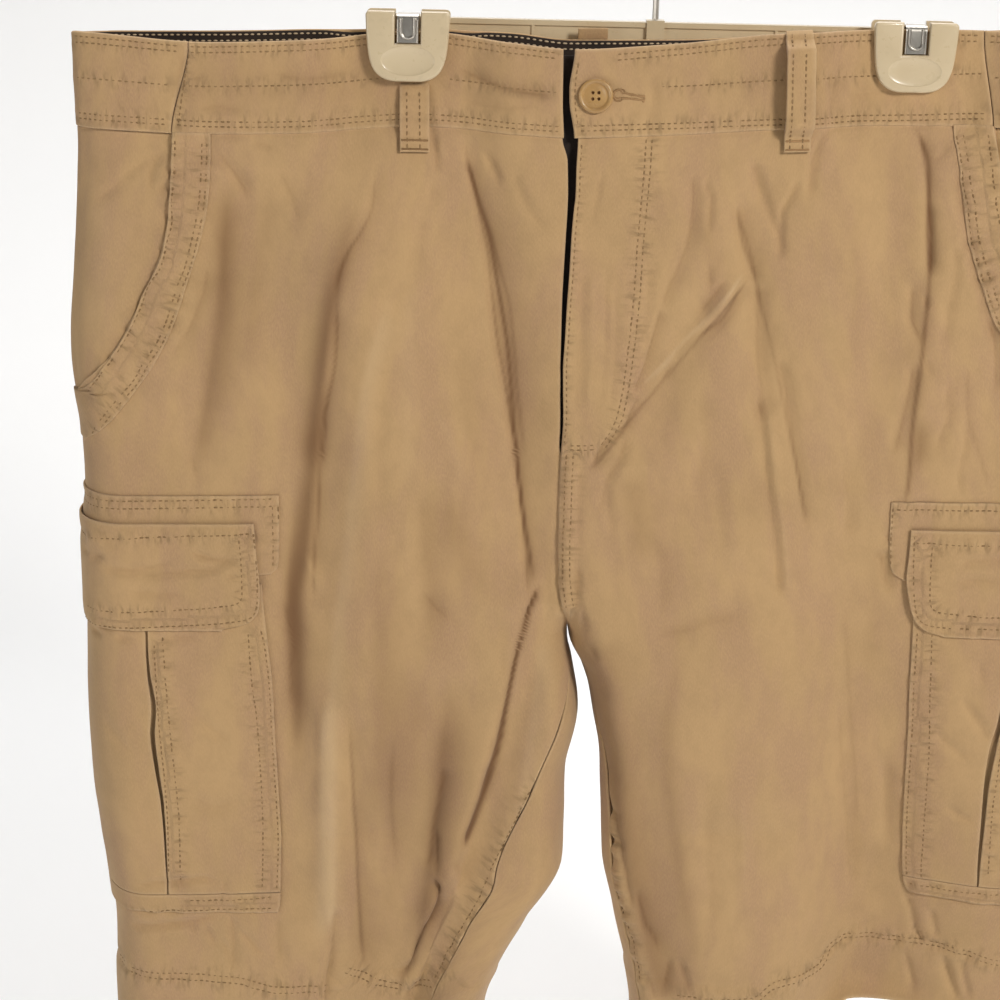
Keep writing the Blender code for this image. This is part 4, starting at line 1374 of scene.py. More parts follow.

# Painted shade in soft stretches of the front, painted light below zero, as the creases are given
SHADOWS = (
    (0.2, 22, 12,
     ((-128, -170), (-136, -226), (-141, -262), (-145, -300), (-144, -350), (-142, -410)), 2.0,
     50),
    (0.26, 34, 34, ((-200, -20), (-120, -20), (-60, -20), (-8, -20)), 2.0, 8),
    (0.12, 34, 34, ((22, -20), (100, -20), (200, -20)), 2.0, 12),
    (0.45, 15, 6.5,
     ((-102, -68), (-116, -104), (-123, -136), (-130, -186), (-134, -220), (-138, -260),
      (-144, -301), (-144, -331)),
     2.0, 75),
    (0.24, 38, 12, ((-105, -77), (-120, -120), (-130, -169), (-137, -220)), 2.0, 20),
    (-0.35, 10, 14,
     ((-89, -120), (-104, -169), (-111, -214), (-116, -260), (-122, -307), (-127, -368),
      (-132, -430), (-136, -494)),
     2.0, 30),
    (0.3, 16, 26, ((-77, -209), (-75, -249), (-72, -284), (-71, -331)), 2.0, 40),
    (0.6, 2.5, 5,
     ((-54, -56), (-48, -77), (-42, -98), (-36, -131), (-32, -158), (-28, -209), (-23, -249),
      (-18, -279)),
     2.0, 10),
    (0.3, 3, 40, ((-48, -72), (-39, -104), (-31, -136), (-27, -180), (-22, -220)), 2.0, 30),
    (0.75, 5, 1.5,
     ((-14, -279), (-22, -301), (-29, -331), (-34, -362), (-41, -389), (-49, -414), (-55, -430)),
     2.0, 10),
    (-0.3, 8, 16, ((-14, -307), (-17, -343), (-22, -380), (-26, -417), (-35, -455), (-48, -494)),
     2.0, 14),
    (0.5, 14, 28, ((-60, -325), (-65, -362), (-69, -399), (-74, -443), (-80, -481), (-90, -520)),
     2.0, 55),
    (0.24, 44, 26, ((-76, -311), (-83, -380), (-91, -430), (-100, -481), (-110, -520)), 2.0, 40),
    (0.5, 20, 34,
     ((7, -307), (15, -337), (21, -368), (31, -417), (39, -455), (48, -494), (58, -530)), 2.0,
     14),
    (0.45, 2.5, 14, ((92, -116), (74, -139), (53, -165), (34, -189), (18, -209), (8, -220)), 2.0,
     10),
    (-0.4, 3, 3, ((90, -112), (72, -135), (51, -159), (35, -177)), 2.0, 10),
    (0.3, 24, 26, ((30, -214), (35, -243), (40, -272)), 2.0, 16),
    (0.18, 40, 40, ((81, -203), (88, -237), (88, -260)), 2.0, 30),
    (0.35, 2.5, 6,
     ((84, -82), (91, -104), (97, -131), (103, -153), (112, -192), (121, -231), (125, -249)),
     2.0, 14),
    (0.6, 5, 7,
     ((171, -40), (180, -61), (180, -88), (182, -120), (180, -158), (177, -192), (176, -220),
      (174, -240)),
     2.0, 14),
    (0.3, 4, 6, ((203, -158), (205, -186), (212, -209), (219, -231)), 2.0, 14),
    (0.28, 5, 12, ((145, -284), (150, -331), (156, -380), (161, -430)), 2.0, 24),
    (0.3, 10, 4, ((-218, -306), (-219, -331)), 2.0, 6),
    (0.16, 12, 26, ((-192, -66), (-182, -88), (-175, -109), (-175, -147), (-180, -192)), 2.0, 20),
    (0.25, 20, 20, ((-66, -220), (-55, -260), (-39, -296)), 2.0, 30),
    (0.25, 6, 14, ((-140, -280), (-142, -320), (-144, -372)), 2.0, 30),
    (0.18, 12, 8, ((176, -120), (174, -160), (168, -210), (166, -235)), 2.0, 20),
    (-0.2, 26, 30, ((-236, -60), (-240, -110), (-246, -160)), 2.0, 30),
    (0.3, 22, 30, ((-100, -236), (-98, -300), (-100, -360), (-108, -440)), 2.0, 60),
    (0.22, 16, 22, ((-60, -130), (-52, -190), (-44, -250)), 2.0, 50),
    (0.2, 14, 16, ((-150, -60), (-158, -110), (-166, -170)), 2.0, 30),
    (0.22, 12, 18, ((62, -70), (72, -120), (60, -150)), 2.0, 30),
    (0.2, 18, 10, ((140, -70), (146, -130), (140, -190)), 2.0, 40),
    (0.24, 12, 12, ((62, -300), (52, -360), (60, -430), (72, -500)), 2.0, 40),
    (0.18, 14, 14, ((160, -250), (162, -300), (160, -345)), 2.0, 26),
    (0.18, 14, 14, ((-184, -84), (-190, -130), (-198, -180)), 2.0, 26),
    (-0.18, 14, 14, ((-78, -100), (-84, -180), (-84, -240)), 2.0, 30),
    (-0.15, 20, 20, ((130, -90), (132, -160), (128, -230)), 2.0, 30),
)


def creases(*tables: Sequence[tuple]) -> list[Crease]:
    """Creases from the rows of the given tables.

    Args:
        *tables: tables of rows, each in the order of the fields of Crease.

    Returns:
        The creases, in the order of the rows.
    """
    found = []
    for table in tables:
        for depth, left, right, line, *rest in table:
            found.append(Crease(depth, left, right, line, *rest))
    return found


FRONT_CREASES = creases(
    BAND_CREASES,
    HIP_CREASES,
    LEFT_CREASES,
    FLY_CREASES,
    RIGHT_CREASES,
    LEFT_CARGO_CREASES,
    RIGHT_CARGO_CREASES,
    LEG_CREASES,
)


# Rows of stitches by piece and face: line, gap between two rows, pucker, reach
STITCHED = (
    ("pocket_band_left", Face.FRONT, (
        (((-185.5, -47), (-186, -60), (-188, -80), (-192, -98), (-196, -112), (-199.5, -120),
         (-206.5, -140), (-211, -150), (-218, -160), (-224, -170), (-233, -180), (-241, -190),
         (-247, -200)),
         2.6, 1.15, 6.5),
    )),
    ("front_left", Face.FRONT, (
        (((-12, -388), (-20, -394), (-26.5, -408), (-32, -420), (-37.5, -432), (-43, -445),
         (-48.5, -459), (-55, -472), (-60.5, -484), (-66, -495), (-72, -512)),
         6.0, 0.9, 6.0),
        (((-248, -501), (-238, -502), (-220, -502.5), (-200, -503.5), (-180, -505.5),
         (-160, -510), (-140, -510.5), (-131, -512)),
         -3.6, 0.6, 6.0),
        (((-120, -502), (-112, -508), (-101, -516), (-88, -518), (-74, -514)), -3.4, 0.9, 6.0),
    )),
    ("front_right", Face.FRONT, (
        (((37.3, -44), (36.5, -60), (35, -80), (33.5, -100), (32.5, -120), (31, -140),
         (29, -160), (26.5, -180), (24, -190), (20.5, -198), (16, -204.5)),
         3.0, 0.45),
        (((5.0, -46), (4.2, -60), (4, -72), (3, -82), (2, -95), (1, -115), (0, -130), (-1, -150),
         (-1.8, -165), (-1.5, -190), (-2.5, -204)),
         0.0, 0.3, 2.5),
        (((13, -204), (4, -204.5), (-3.5, -204)), 2.4, 0.4),
        (((-1.4, -209), (-2.2, -240), (-2.6, -270), (-1.0, -292)), 3.4, 0.6, 4.5),
    )),
    ("pocket_band_right", Face.FRONT, (
        (((194, -47), (196, -60), (197.5, -72), (199.5, -80), (202, -95), (206.5, -110),
         (212, -125), (217, -137), (224, -150), (233, -162), (244, -174)),
         3.4, 1.15, 6.5),
    )),
    ("front_right", Face.FRONT, (
        (((22, -410), (25, -448), (31, -470), (37, -490), (42, -512)), 0.0, 0.9, 6.0),
        (((62, -520), (84, -520), (104, -519), (117, -510), (143, -508), (147, -501),
         (153, -498), (162, -496.5), (180, -496.5), (200, -495), (220, -495.5), (240, -499),
         (264, -500)),
         -3.8, 0.6, 6.0),
    )),
    ("pocket_band_left", Face.FRONT, (
        (((-198.6, -46), (-199.3, -62), (-201, -75), (-201.5, -88), (-204, -98), (-208, -112),
         (-214, -120), (-218, -130), (-222.5, -140), (-228, -150), (-233.5, -158), (-244, -171),
         (-250, -178)),
         0.0, 1.1, 5.0),
    )),
    ("pocket_band_right", Face.FRONT, (
        (((209.5, -46), (211, -60), (213, -75), (216, -90), (221, -106), (228, -122),
         (236, -139), (248, -157)),
         0.0, 1.1, 5.0),
    )),
    ("waistband_front_left", Face.FRONT, (
        (((-190.5, 1.5), (-160, 1.8), (-120, 1.8), (-60, 1.8), (-8, 1.8)), -3.0, 0.3, 3.0),
        (((-195, -18.6), (-150, -18.6), (-90, -18.8)), 0.0, 0.3, 4.0),
        (((-62, -18.8), (-30, -19), (-7, -19)), 0.0, 0.3, 4.0),
        (((-198, -36), (-150, -37), (-90, -37), (-40, -37), (-6, -37)), -2.6, 0.5, 4.0),
        (((-190.5, -2), (-194, -20), (-197, -38)), 0.0, 0.3, 3.0),
    )),
    ("waistband_front_right", Face.FRONT, (
        (((22, 0.6), (60, 1.4), (120, 1.8), (203, 1.6)), -3.0, 0.3, 3.0),
        (((44, -17.5), (90, -18.6), (150, -18.6), (206, -17)), 0.0, 0.3, 4.0),
        (((4, -36.5), (22, -36.5), (60, -37), (120, -38), (160, -38), (208, -36.5)), -2.6, 0.5,
         4.0),
        (((3.2, -3), (1.4, -18), (1.6, -26), (3.0, -36)), 0.0, 0.25, 2.5),
    )),
    ("waistband_back_left", Face.FRONT, (
        (((-248, 1.6), (-220, 1.6), (-196, 1.6)), -3.0, 0.3, 3.0),
        (((-248, -18.6), (-201, -18.6)), 0.0, 0.3, 4.0),
        (((-248, -36), (-203, -36)), -2.6, 0.5, 4.0),
    )),
    ("waistband_back_right", Face.FRONT, (
        (((208, 1.6), (226, 1.6), (248, 1.6)), -3.0, 0.3, 3.0),
        (((211, -18.6), (248, -18.6)), 0.0, 0.3, 4.0),
        (((214, -36), (248, -36)), -2.6, 0.5, 4.0),
    )),
    ("waistband_back_left", Face.BACK, (
        (((-8, 1.6), (-120, 1.6), (-248, 1.6)), 3.0, 0.3, 3.0),
        (((-8, -36), (-120, -36), (-248, -36)), 2.6, 0.5, 4.0),
    )),
    ("waistband_back_right", Face.BACK, (
        (((8, 1.6), (120, 1.6), (248, 1.6)), -3.0, 0.3, 3.0),
        (((8, -36), (120, -36), (248, -36)), -2.6, 0.5, 4.0),
    )),
    ("cargo_patch_left", Face.FRONT, (
        (((-255, -234), (-200, -233), (-154, -232.5)), -4.0, 0.6, 4.0),
        (((-154.5, -236), (-154.5, -255), (-154.8, -269)), 3.0, 0.6, 3.0),
    )),
    ("cargo_flap_left", Face.FRONT, (
        (((-258, -256), (-240, -253.5), (-200, -251.5), (-166, -250.5)), 0.0, 0.7, 4.0),
        (((-255, -302), (-200, -299.5), (-175, -297.5), (-166, -295), (-163.5, -289),
         (-163, -275), (-164.5, -250)),
         0.0, 0.5, 4.0),
        (((-252, -293.5), (-200, -291), (-175, -288), (-171, -285), (-171, -265), (-172, -253)),
         0.0, 0.5, 4.0),
    )),
    ("cargo_front_left", Face.FRONT, (
        (((-213.5, -306), (-212.5, -330), (-211, -362), (-209, -392), (-208.3, -410),
         (-209.3, -446)),
         0.0, 0.6, 4.0),
        (((-218.0, -310), (-217.6, -330), (-216.6, -362), (-214.8, -392), (-214.5, -410),
         (-215.2, -440)),
         0.0, 0.3, 2.0),
        (((-162, -303), (-160.5, -310), (-158.4, -335), (-157.8, -362), (-157.2, -380),
         (-156.4, -400), (-156, -420), (-156.8, -440), (-157.6, -452)),
         0.0, 0.5, 3.0),
        (((-168.5, -304), (-167.5, -330), (-165.5, -350), (-164.4, -380), (-164, -410),
         (-165.5, -451)),
         0.0, 0.6, 4.5),
    )),
    ("cargo_band_left", Face.FRONT, (
        (((-160, -456), (-172, -457), (-205, -457)), 0.0, 0.5, 3.0),
        (((-160, -462.5), (-180, -462.6), (-214, -463), (-245, -466)), 0.0, 0.5, 3.0),
    )),
    ("cargo_patch_right", Face.FRONT, (
        (((170, -234), (200, -234), (262, -234)), -4.4, 0.6, 4.0),
        (((168.5, -237), (168.7, -255), (169.5, -270)), -3.0, 0.6, 3.0),
    )),
    ("cargo_flap_right", Face.FRONT, (
        (((181, -256), (200, -257), (230, -257), (268, -257)), 0.0, 0.7, 4.0),
        (((180.5, -252), (181, -270), (182, -283), (184.5, -297), (189, -301), (200, -302.5),
         (240, -302), (270, -302)),
         0.0, 0.5, 4.0),
        (((190, -258), (190, -280), (191, -291), (195, -294), (230, -296), (268, -296)), 0.0,
         0.5, 4.0),
    )),
    ("cargo_front_right", Face.FRONT, (
        (((185, -306), (184.9, -335), (185.8, -362), (186.1, -385), (186.6, -416), (187.7, -440),
         (189, -452)),
         0.0, 0.5, 3.0),
        (((192.5, -306), (192.8, -318), (193.9, -348), (195.4, -378), (195.6, -400),
         (195.8, -440), (196.4, -452)),
         0.0, 0.6, 4.5),
    )),
    ("cargo_rear_right", Face.FRONT, (
        (((236, -306), (233, -353), (231, -380), (229.6, -413), (230, -445)), 0.0, 0.5, 4.0),
    )),
    ("cargo_band_right", Face.FRONT, (
        (((190, -457), (215, -457), (240, -457)), 0.0, 0.5, 3.0),
        (((190, -463), (215, -463), (264, -464)), 0.0, 0.5, 3.0),
    )),
    ("back_left", Face.BACK, (
        (((-246, -503), (-180, -505), (-120, -508), (-60, -510)), -3.6, 0.6, 6.0),
    )),
    ("back_right", Face.BACK, (
        (((266, -503), (200, -505), (140, -508), (60, -510)), 3.6, 0.6, 6.0),
    )),
    ("back_left", Face.BACK, (
        (((-3.5, -50), (-3.5, -160), (-3, -280)), -3.4, 0.6, 4.5),
    )),
)
ROWS = tuple(
    StitchRow(piece, *row, face=face) for piece, face, rows in STITCHED for row in rows
)
RELIEFS = {
    Face.FRONT: Relief(Face.FRONT, FRONT_CREASES, creases(SHADOWS), ROWS),
    Face.BACK: Relief(Face.BACK, creases(BACK_CREASES), (), ROWS),
}


# Edges of the pieces, by level, as x
FLY_EDGES = {
    Side.LEFT: Table(
        "level x", (-43, -4.6), (-55, -1.9), (-72, -1.6), (-95, -2.6), (-115, -3.7), (-130, -4.4),
        (-165, -5.0), (-207, -5.0), (-214, 0.0), (-316, 0.0),
    ),
    Side.RIGHT: Table(
        "level x", (-43, 3.0), (-60, 2.2), (-72, 2.0), (-82, 1.0), (-95, 0.0), (-115, -1.0),
        (-130, -2.0), (-150, -3.0), (-165, -3.8), (-190, -3.5), (-207, -4.5), (-240, -5.8),
        (-278, -5.8), (-290, -4.0), (-300, -1.5), (-308, 0.0), (-316, 0.0),
    ),
}
BAND_ENDS = {
    Side.LEFT: Table("level x", (4, -4.4), (-25, -4.6), (-43, -4.0)),
    Side.RIGHT: Table("level x", (4, 1.3), (-18, -1.4), (-24, -1.3), (-43, 1.2)),
}
POCKET_EDGES = {
    Side.LEFT: Table(
        "level x", (-273, -161.0), (-310, -158.5), (-335, -156.5), (-362, -156.0), (-400, -154.7),
        (-420, -154.3), (-440, -155.0), (-460, -155.8), (-466, -157.5), (-470, -161.0),
    ),
    Side.RIGHT: Table(
        "level x", (-273, 182.4), (-335, 182.5), (-362, 183.5), (-385, 183.8), (-416, 184.3),
        (-440, 185.4), (-458, 187.2), (-465, 190.0), (-470, 194.0),
    ),
}
FLAP_EDGES = {
    Side.LEFT: Table(
        "level x", (-245, -164.0), (-257, -163.5), (-283, -161.8), (-291, -162.6), (-296, -165.4),
        (-299, -170.0), (-302, -182.0),
    ),
    Side.RIGHT: Table(
        "level x", (-249, 178.5), (-262, 178.3), (-275, 177.6), (-290, 180.0), (-299, 183.0),
        (-304, 188.0), (-307.5, 198.0),
    ),
}
PATCH_EDGES = {
    Side.LEFT: Table("level x", (-231, -151.0), (-262, -151.4), (-270, -152.6), (-273, -156.0)),
    Side.RIGHT: Table("level x", (-234, 167.4), (-268, 168.6), (-274, 170.4), (-278, 176.0)),
}
SLITS = {
    Side.LEFT: Table(
        "level x width", (-273, -221.5, 1.0), (-312, -222, 1.2), (-325, -221.5, 1.5), (
            -345, -219.4, 2.4
        ),
        (-360,
         -220.6,
         2.4), (-380, -219, 2.0), (-400, -216.9, 1.5), (-425, -216.3, 1.0), (-454, -216.3, 0.7),
    ),
    Side.RIGHT: Table(
        "level x width", (-273, 233, 1.0), (-320, 232, 1.4), (-353, 230, 2.4), (-370, 227.2, 3.4),
        (-395, 225.4, 2.4), (-413, 225.2, 2.0), (-440, 224.8, 1.4), (-454, 225, 0.8),
    ),
}
POCKET_BANDS = {
    Side.LEFT: Table(
        "level x", (-43, -181), (-60, -181.5), (-80, -183.5), (-98, -187.6), (-120, -195), (
            -140, -202
        ),
        (-160, -212), (-172, -220.5), (-184, -230), (-196, -241), (-205, -252),
    ),
    Side.RIGHT: Table(
        "level x", (-43, 192.5), (-60, 194.5), (-80, 197.5), (-95, 200), (-110, 204.5), (
            -125, 210
        ),
        (-140, 216), (-160, 231), (-172, 242), (-186, 256), (-205, 268),
    ),
}
HEM_ROWS = -507.0


def turned(levels: Points) -> Points:
    """Own relief of a panel: its turned hem, and its top tucked under the waistband."""
    hem = 0.9 * ease((HEM_ROWS - 2 - levels) / 3.0)
    return hem - 0.5 * ease((levels - WAIST_SEAM + 1.4) / 1.2)


def distances_to(form: Form, levels: Points, table: Table) -> Points:
    """Distances from the side seam of an edge given as x, one a level."""
    return np.array([form.distance(float(table.at("x", z)), z) for z in levels])


def grid(levels: Points, starts: Points, ends: Points, pitch: float) -> tuple[Points, Points]:
    """Levels and distances of a grid between two edges.

    Args:
        levels: the rows' levels.
        starts: distance of the first column, one a level.
        ends: distance of the last column, one a level.
        pitch: about how far apart the columns are.

    Returns:
        The levels and the distances, rows by columns.
    """
    reference = stations(float(np.median(np.abs(ends - starts))), pitch)
    rows = [spread(reference, start, end) for start, end in zip(starts, ends)]
    return np.repeat(levels[:, None], len(reference), axis=1), np.array(rows)


def down(top: float, end: float, pitch: float) -> Points:
    """Levels from the top to the end, close together at both."""
    return top - stations(top - end, pitch)


@dataclass(frozen=True)
class PocketLevels:
    """Levels of a cargo pocket's upper parts, which differ between the sides."""

    patch_top: float
    patch_end: float
    flap_top: float
    flap_end: float


POCKET_LEVELS = {
    Side.LEFT: PocketLevels(-230.5, -273.0, -245.0, -302.5),
    Side.RIGHT: PocketLevels(-234.3, -278.0, -249.0, -307.5),
}


@dataclass
class Half:
    """One half of the shorts: panels, slant pocket, cargo pocket and waistbands."""

    side: Side
    pitch: float = 1.55
    back_pitch: float = 2.6
    pocket_pitch: float = 1.5
    seam: float = 0.02  # half the joint between two panels
    tucked: float = 0.9  # how far the panels reach up under the bands
    pocket_wall: float = 0.9
    patch_lift: float = 1.2
    pocket_lift: float = 1.5
    flap_lift: float = 3.3
    swelling: float = 2.2
    facing_depth: float = 0.7  # how far the pocket facing lies behind the panel
    facing_reach: float = 9.0  # how far it goes on behind the mouth
    mouth_band_lift: float = 0.85
    mouth_band_end: float = -203.0
    fly_rise: float = 1.5  # how far the right panel stands up over the fly
    fly_drop: float = 0.7  # how far the left one gives way under it
    joint: float = 0.1  # half the gap between parts of the cargo pocket
    centre: float = 0.05  # half the gap at the centre back seam
    band_joint: float = 0.15  # half the gap between the waistbands
    band_lift: float = 0.5
    band_soft: float = 1.0
    band_lap: float = 0.9  # how far the right band stands over the left one
    pieces: dict[str, Cloth] = field(default_factory=dict)

    @property
    def form(self) -> Form:
        """The half's smooth surface."""
        return FORMS[self.side]

    def named(self, piece: str) -> str:
        """The piece's name with the side added."""
        return f"{piece}_{self.side.name.lower()}"

    def keep(self, piece: str, *args: Points, **settings: object) -> Cloth:
        """Make a piece of cloth and keep it under its name.

        Args:
            piece: name of the piece, without its side.
            *args: grid of the piece, as grid() gives it.
            **settings: other fields of Cloth.

        Returns:
            The piece.
        """
        made = Cloth(self.named(piece), self.form, *args, **settings)
        self.pieces[made.name] = made
        return made

    def mouth(self, level: float) -> float:
        """Distance of the slant pocket's mouth from the side seam."""
        out = float(MOUTHS[self.side].at("mouth", level))
        return max(float(section_at(self.side, level).distance_to(out)), 0.0)

    def panel_ends(self, levels: Points) -> Points:
        """Distances of the front panel's inner edge.

        Args:
            levels: places in height, in mm.

        Returns:
            The distances, in mm.
        """
        ends = []
        for z in levels:
            here = section_at(self.side, z)
            shift = 0.0
            if z > -316:
                inner = float(SECTIONS[self.side].at("inner", z))
                shift = inner - self.side.value * float(FLY_EDGES[self.side].at("x", z))
            ends.append(
                here.front_end + shift - (0.4 if z < -200 and self.side is Side.LEFT else 0.1)
            )
        return np.array(ends)

    def front_shape(self, distances: Points, x: Points, levels: Points) -> Points:
        """Own relief of the front panel: the fly's lap and the turned hem.

        Args:
            distances: not used.
            x: places across, in mm.
            levels: places in height, in mm.

        Returns:
            Height at each place, in mm.
        """
        out = turned(levels)
        if self.side is Side.RIGHT:
            out += self.fly_rise * ease((7 - x) / 8) * ease((levels + 312) / 16)
        else:
            out -= self.fly_drop * ease((x + 9) / 8) * ease((levels + 222) / 14)
        return out

    def back_shape(self, distances: Points, x: Points, levels: Points) -> Points:
        """Own relief of the back panel: its turned hem."""
        return turned(levels)

    def back_ends(self, levels: Points) -> Points:
        """Distances round the back at which the half reaches centre back, or its inner leg."""
        inner = SECTIONS[self.side].at("inner", levels) * ease((levels + 300) / 30)
        return np.array([section_at(self.side, z).back_end for z in levels]) + inner

    def make_panels(self) -> None:
        """Front and back panels."""
        levels = down(WAIST_SEAM + self.tucked, HEM, self.pitch)
        starts = np.array([max(self.mouth(z), 0.2) for z in levels])
        for _ in range(3):
            padded = np.pad(starts, 5, mode="edge")
            starts = np.convolve(padded, np.full(11, 1 / 11), mode="valid")
        starts -= 2.0 * np.exp(-(((levels - MOUTH_FOOT[self.side]) / 16) ** 2))
        starts = np.where(
            levels < MOUTH_FOOT[self.side] - 16, self.seam, np.maximum(starts, self.seam)
        )
        self.keep(
            "front",
            *grid(levels, starts, self.panel_ends(levels), self.pitch),
            lift=0.0,
            shape=self.front_shape,
        )
        levels = down(WAIST_SEAM + self.tucked, HEM, self.back_pitch)
        ends = self.centre - self.back_ends(levels)
        starts = np.full(len(levels), -self.seam)
        self.keep(
            "back", *grid(levels, starts, ends, self.back_pitch), lift=0.0, shape=self.back_shape
        )

    def make_slant_pocket(self) -> None:
        """Band along the mouth, and the facing that shows behind it."""
        levels = down(WAIST_SEAM + self.tucked, self.mouth_band_end, self.pitch)
        starts = np.array([max(self.mouth(z), 0.3) for z in levels])
        ends = distances_to(self.form, levels, POCKET_BANDS[self.side])
        ends = np.maximum(ends, starts + 2)
        self.keep(
            "pocket_band",
            *grid(levels, starts, ends, self.pitch),
            lift=self.mouth_band_lift,
            wall=0.5,
            soft=0.45,
        )
        levels = down(WAIST_SEAM - 0.1, MOUTH_FOOT[self.side] - 3, self.pitch)
        ends = np.array([self.mouth(z) + self.facing_reach for z in levels])
        starts = np.full(len(levels), 0.4)

        def rises(distances: Points, x: Points, z: Points) -> Points:
            """The facing comes level with the back panel at the side seam."""
            return (CLOTH + self.facing_depth) * ease((12 - distances) / 11)

        self.keep(
            "pocket_facing",
            *grid(levels, starts, ends, self.pitch),
            lift=-CLOTH - self.facing_depth,
            wall=0.9,
            soft=0.4,
            shape=rises,
        )

    def swell(self, height: float) -> Height:
        """Relief that swells a pocket part below the flap."""

        def shape(distances: Points, x: Points, levels: Points) -> Points:
            """The swell at places on the part.

            Args:
                distances: distances from the side seam, in mm.
                x: not used.
                levels: places in height, in mm.

            Returns:
                Height at each place, in mm.
            """
            along = np.clip((FLAP_END - levels) / (FLAP_END - POCKET_BAND), 0, 1)
            across = np.clip((distances + POCKET_REAR) / (POCKET_REAR + POCKET_EDGE), 0, 1)
            return height * np.sin(math.pi * along) * np.sin(math.pi * across) ** 0.5

        return shape

    def cargo(
        self, piece: str, top: float, end: float, first: Reach, last: Reach, **settings: object
    ) -> None:
        """One part of the cargo pocket between two edges given by functions of the level.

        Args:
            piece: name of the part, without its side.
            top: level of the upper edge, in mm.
            end: level of the lower edge, in mm.
            first: gives the distances of the first edge at levels.
            last: gives the distances of the last edge at levels.
            **settings: other fields of Cloth.
        """
        levels = down(top, end, self.pocket_pitch)
        starts, ends = first(levels), last(levels)
        self.keep(
            f"cargo_{piece}",
            *grid(levels, starts, ends, self.pocket_pitch),
            wall=self.pocket_wall,
            soft=0.6,
            **settings,
        )

    def make_cargo_pocket(self) -> None:
        """Patch, two pocket parts beside the slit, bottom band and flap."""

        def edge(table: dict[Side, Table]) -> Reach:
            """Distances of an edge, by level."""
            return lambda levels: distances_to(self.form, levels, table[self.side])

        def rear(levels: Points) -> Points:
            """Distances of the pocket's edge on the back."""
            return np.full(len(levels), -POCKET_REAR)

        def slit(part: int) -> Reach:
            """Distances of one edge of the slit."""
            table = SLITS[self.side]
            return lambda levels: distances_to(self.form, levels, table) + part * table.at(
                "width", levels
            ) / 2

        at, swell = POCKET_LEVELS[self.side], self.swell(self.swelling)
        self.cargo(
            "patch", at.patch_top, at.patch_end, rear, edge(PATCH_EDGES), lift=self.patch_lift
        )
        for part, ends in (("front", (slit(1), edge(POCKET_EDGES))), ("rear", (rear, slit(-1)))):
            top, end = PATCH_END - 5, POCKET_BAND + self.joint
            self.cargo(part, top, end, *ends, lift=self.pocket_lift, shape=swell)
        top, end = POCKET_BAND - self.joint, POCKET_END + 4.5
        lift = self.pocket_lift + 0.1
        self.cargo("band", top, end, rear, edge(POCKET_EDGES), lift=lift)
        self.cargo("flap", at.flap_top, at.flap_end, rear, edge(FLAP_EDGES), lift=self.flap_lift)

    def make_waistbands(self) -> None:
        """Front waistband, and the one round the side and the back."""
        levels = down(WAIST_TOP, WAIST_SEAM, 1.3)
        joins = np.array(
            [
                self.form.distance(
                    self.side.value * float(BAND_JOINS[self.side].at("join", z)), z
                )
                for z in levels
            ]
        )
        ends = []
        for z in levels:
            inner = float(SECTIONS[self.side].at("inner", z))
            shift = inner - self.side.value * float(BAND_ENDS[self.side].at("x", z))
            ends.append(section_at(self.side, z).front_end + shift)
        lap = self.band_lap if self.side is Side.RIGHT else 0.0

        def lapped(distances: Points, x: Points, levels: Points) -> Points:
            """The right band's end stands over the left one's."""
            return lap * ease((24 - x) / 24)

        self.keep(
            "waistband_front",
            *grid(levels, joins + self.band_joint, np.array(ends), 1.4),
            lift=self.band_lift,
            wall=BAND_WALL,
            soft=self.band_soft,
            shape=lapped,
        )
        self.keep(
            "waistband_back",
            *grid(levels, self.centre - self.back_ends(levels), joins - self.band_joint, 1.7),
            lift=self.band_lift,
            wall=BAND_WALL,
            soft=self.band_soft,
        )

    def make(self) -> None:
        """Every piece of the half."""
        self.make_panels()
        self.make_slant_pocket()
        self.make_cargo_pocket()
        self.make_waistbands()


class Wire:
    """A socket's value in a shader, on which Python's operators add Math nodes."""

    def __init__(self, graph: "Graph", socket: bpy.types.NodeSocket) -> None:
        """Wrap a socket of the graph."""
        self.graph, self.socket = graph, socket

    def math(self, operation: str, *values: "Wire | float") -> "Wire":
        """Add a Math node on the values."""
        return self.graph.node("ShaderNodeMath", {"operation": operation}, dict(enumerate(values)))

    def __add__(self, other: "Wire | float") -> "Wire":
        """Sum."""
        return self.math("ADD", self, other)

    def __mul__(self, other: "Wire | float") -> "Wire":
        """Product."""
        return self.math("MULTIPLY", self, other)

    def step(self, start: float, end: float) -> "Wire":
        """A smooth step from 0 to 1 between two values."""
        sockets = {"Value": self, "From Min": start, "From Max": end}
        return self.graph.node(
            "ShaderNodeMapRange", {"interpolation_type": "SMOOTHSTEP"}, sockets, "Result"
        )


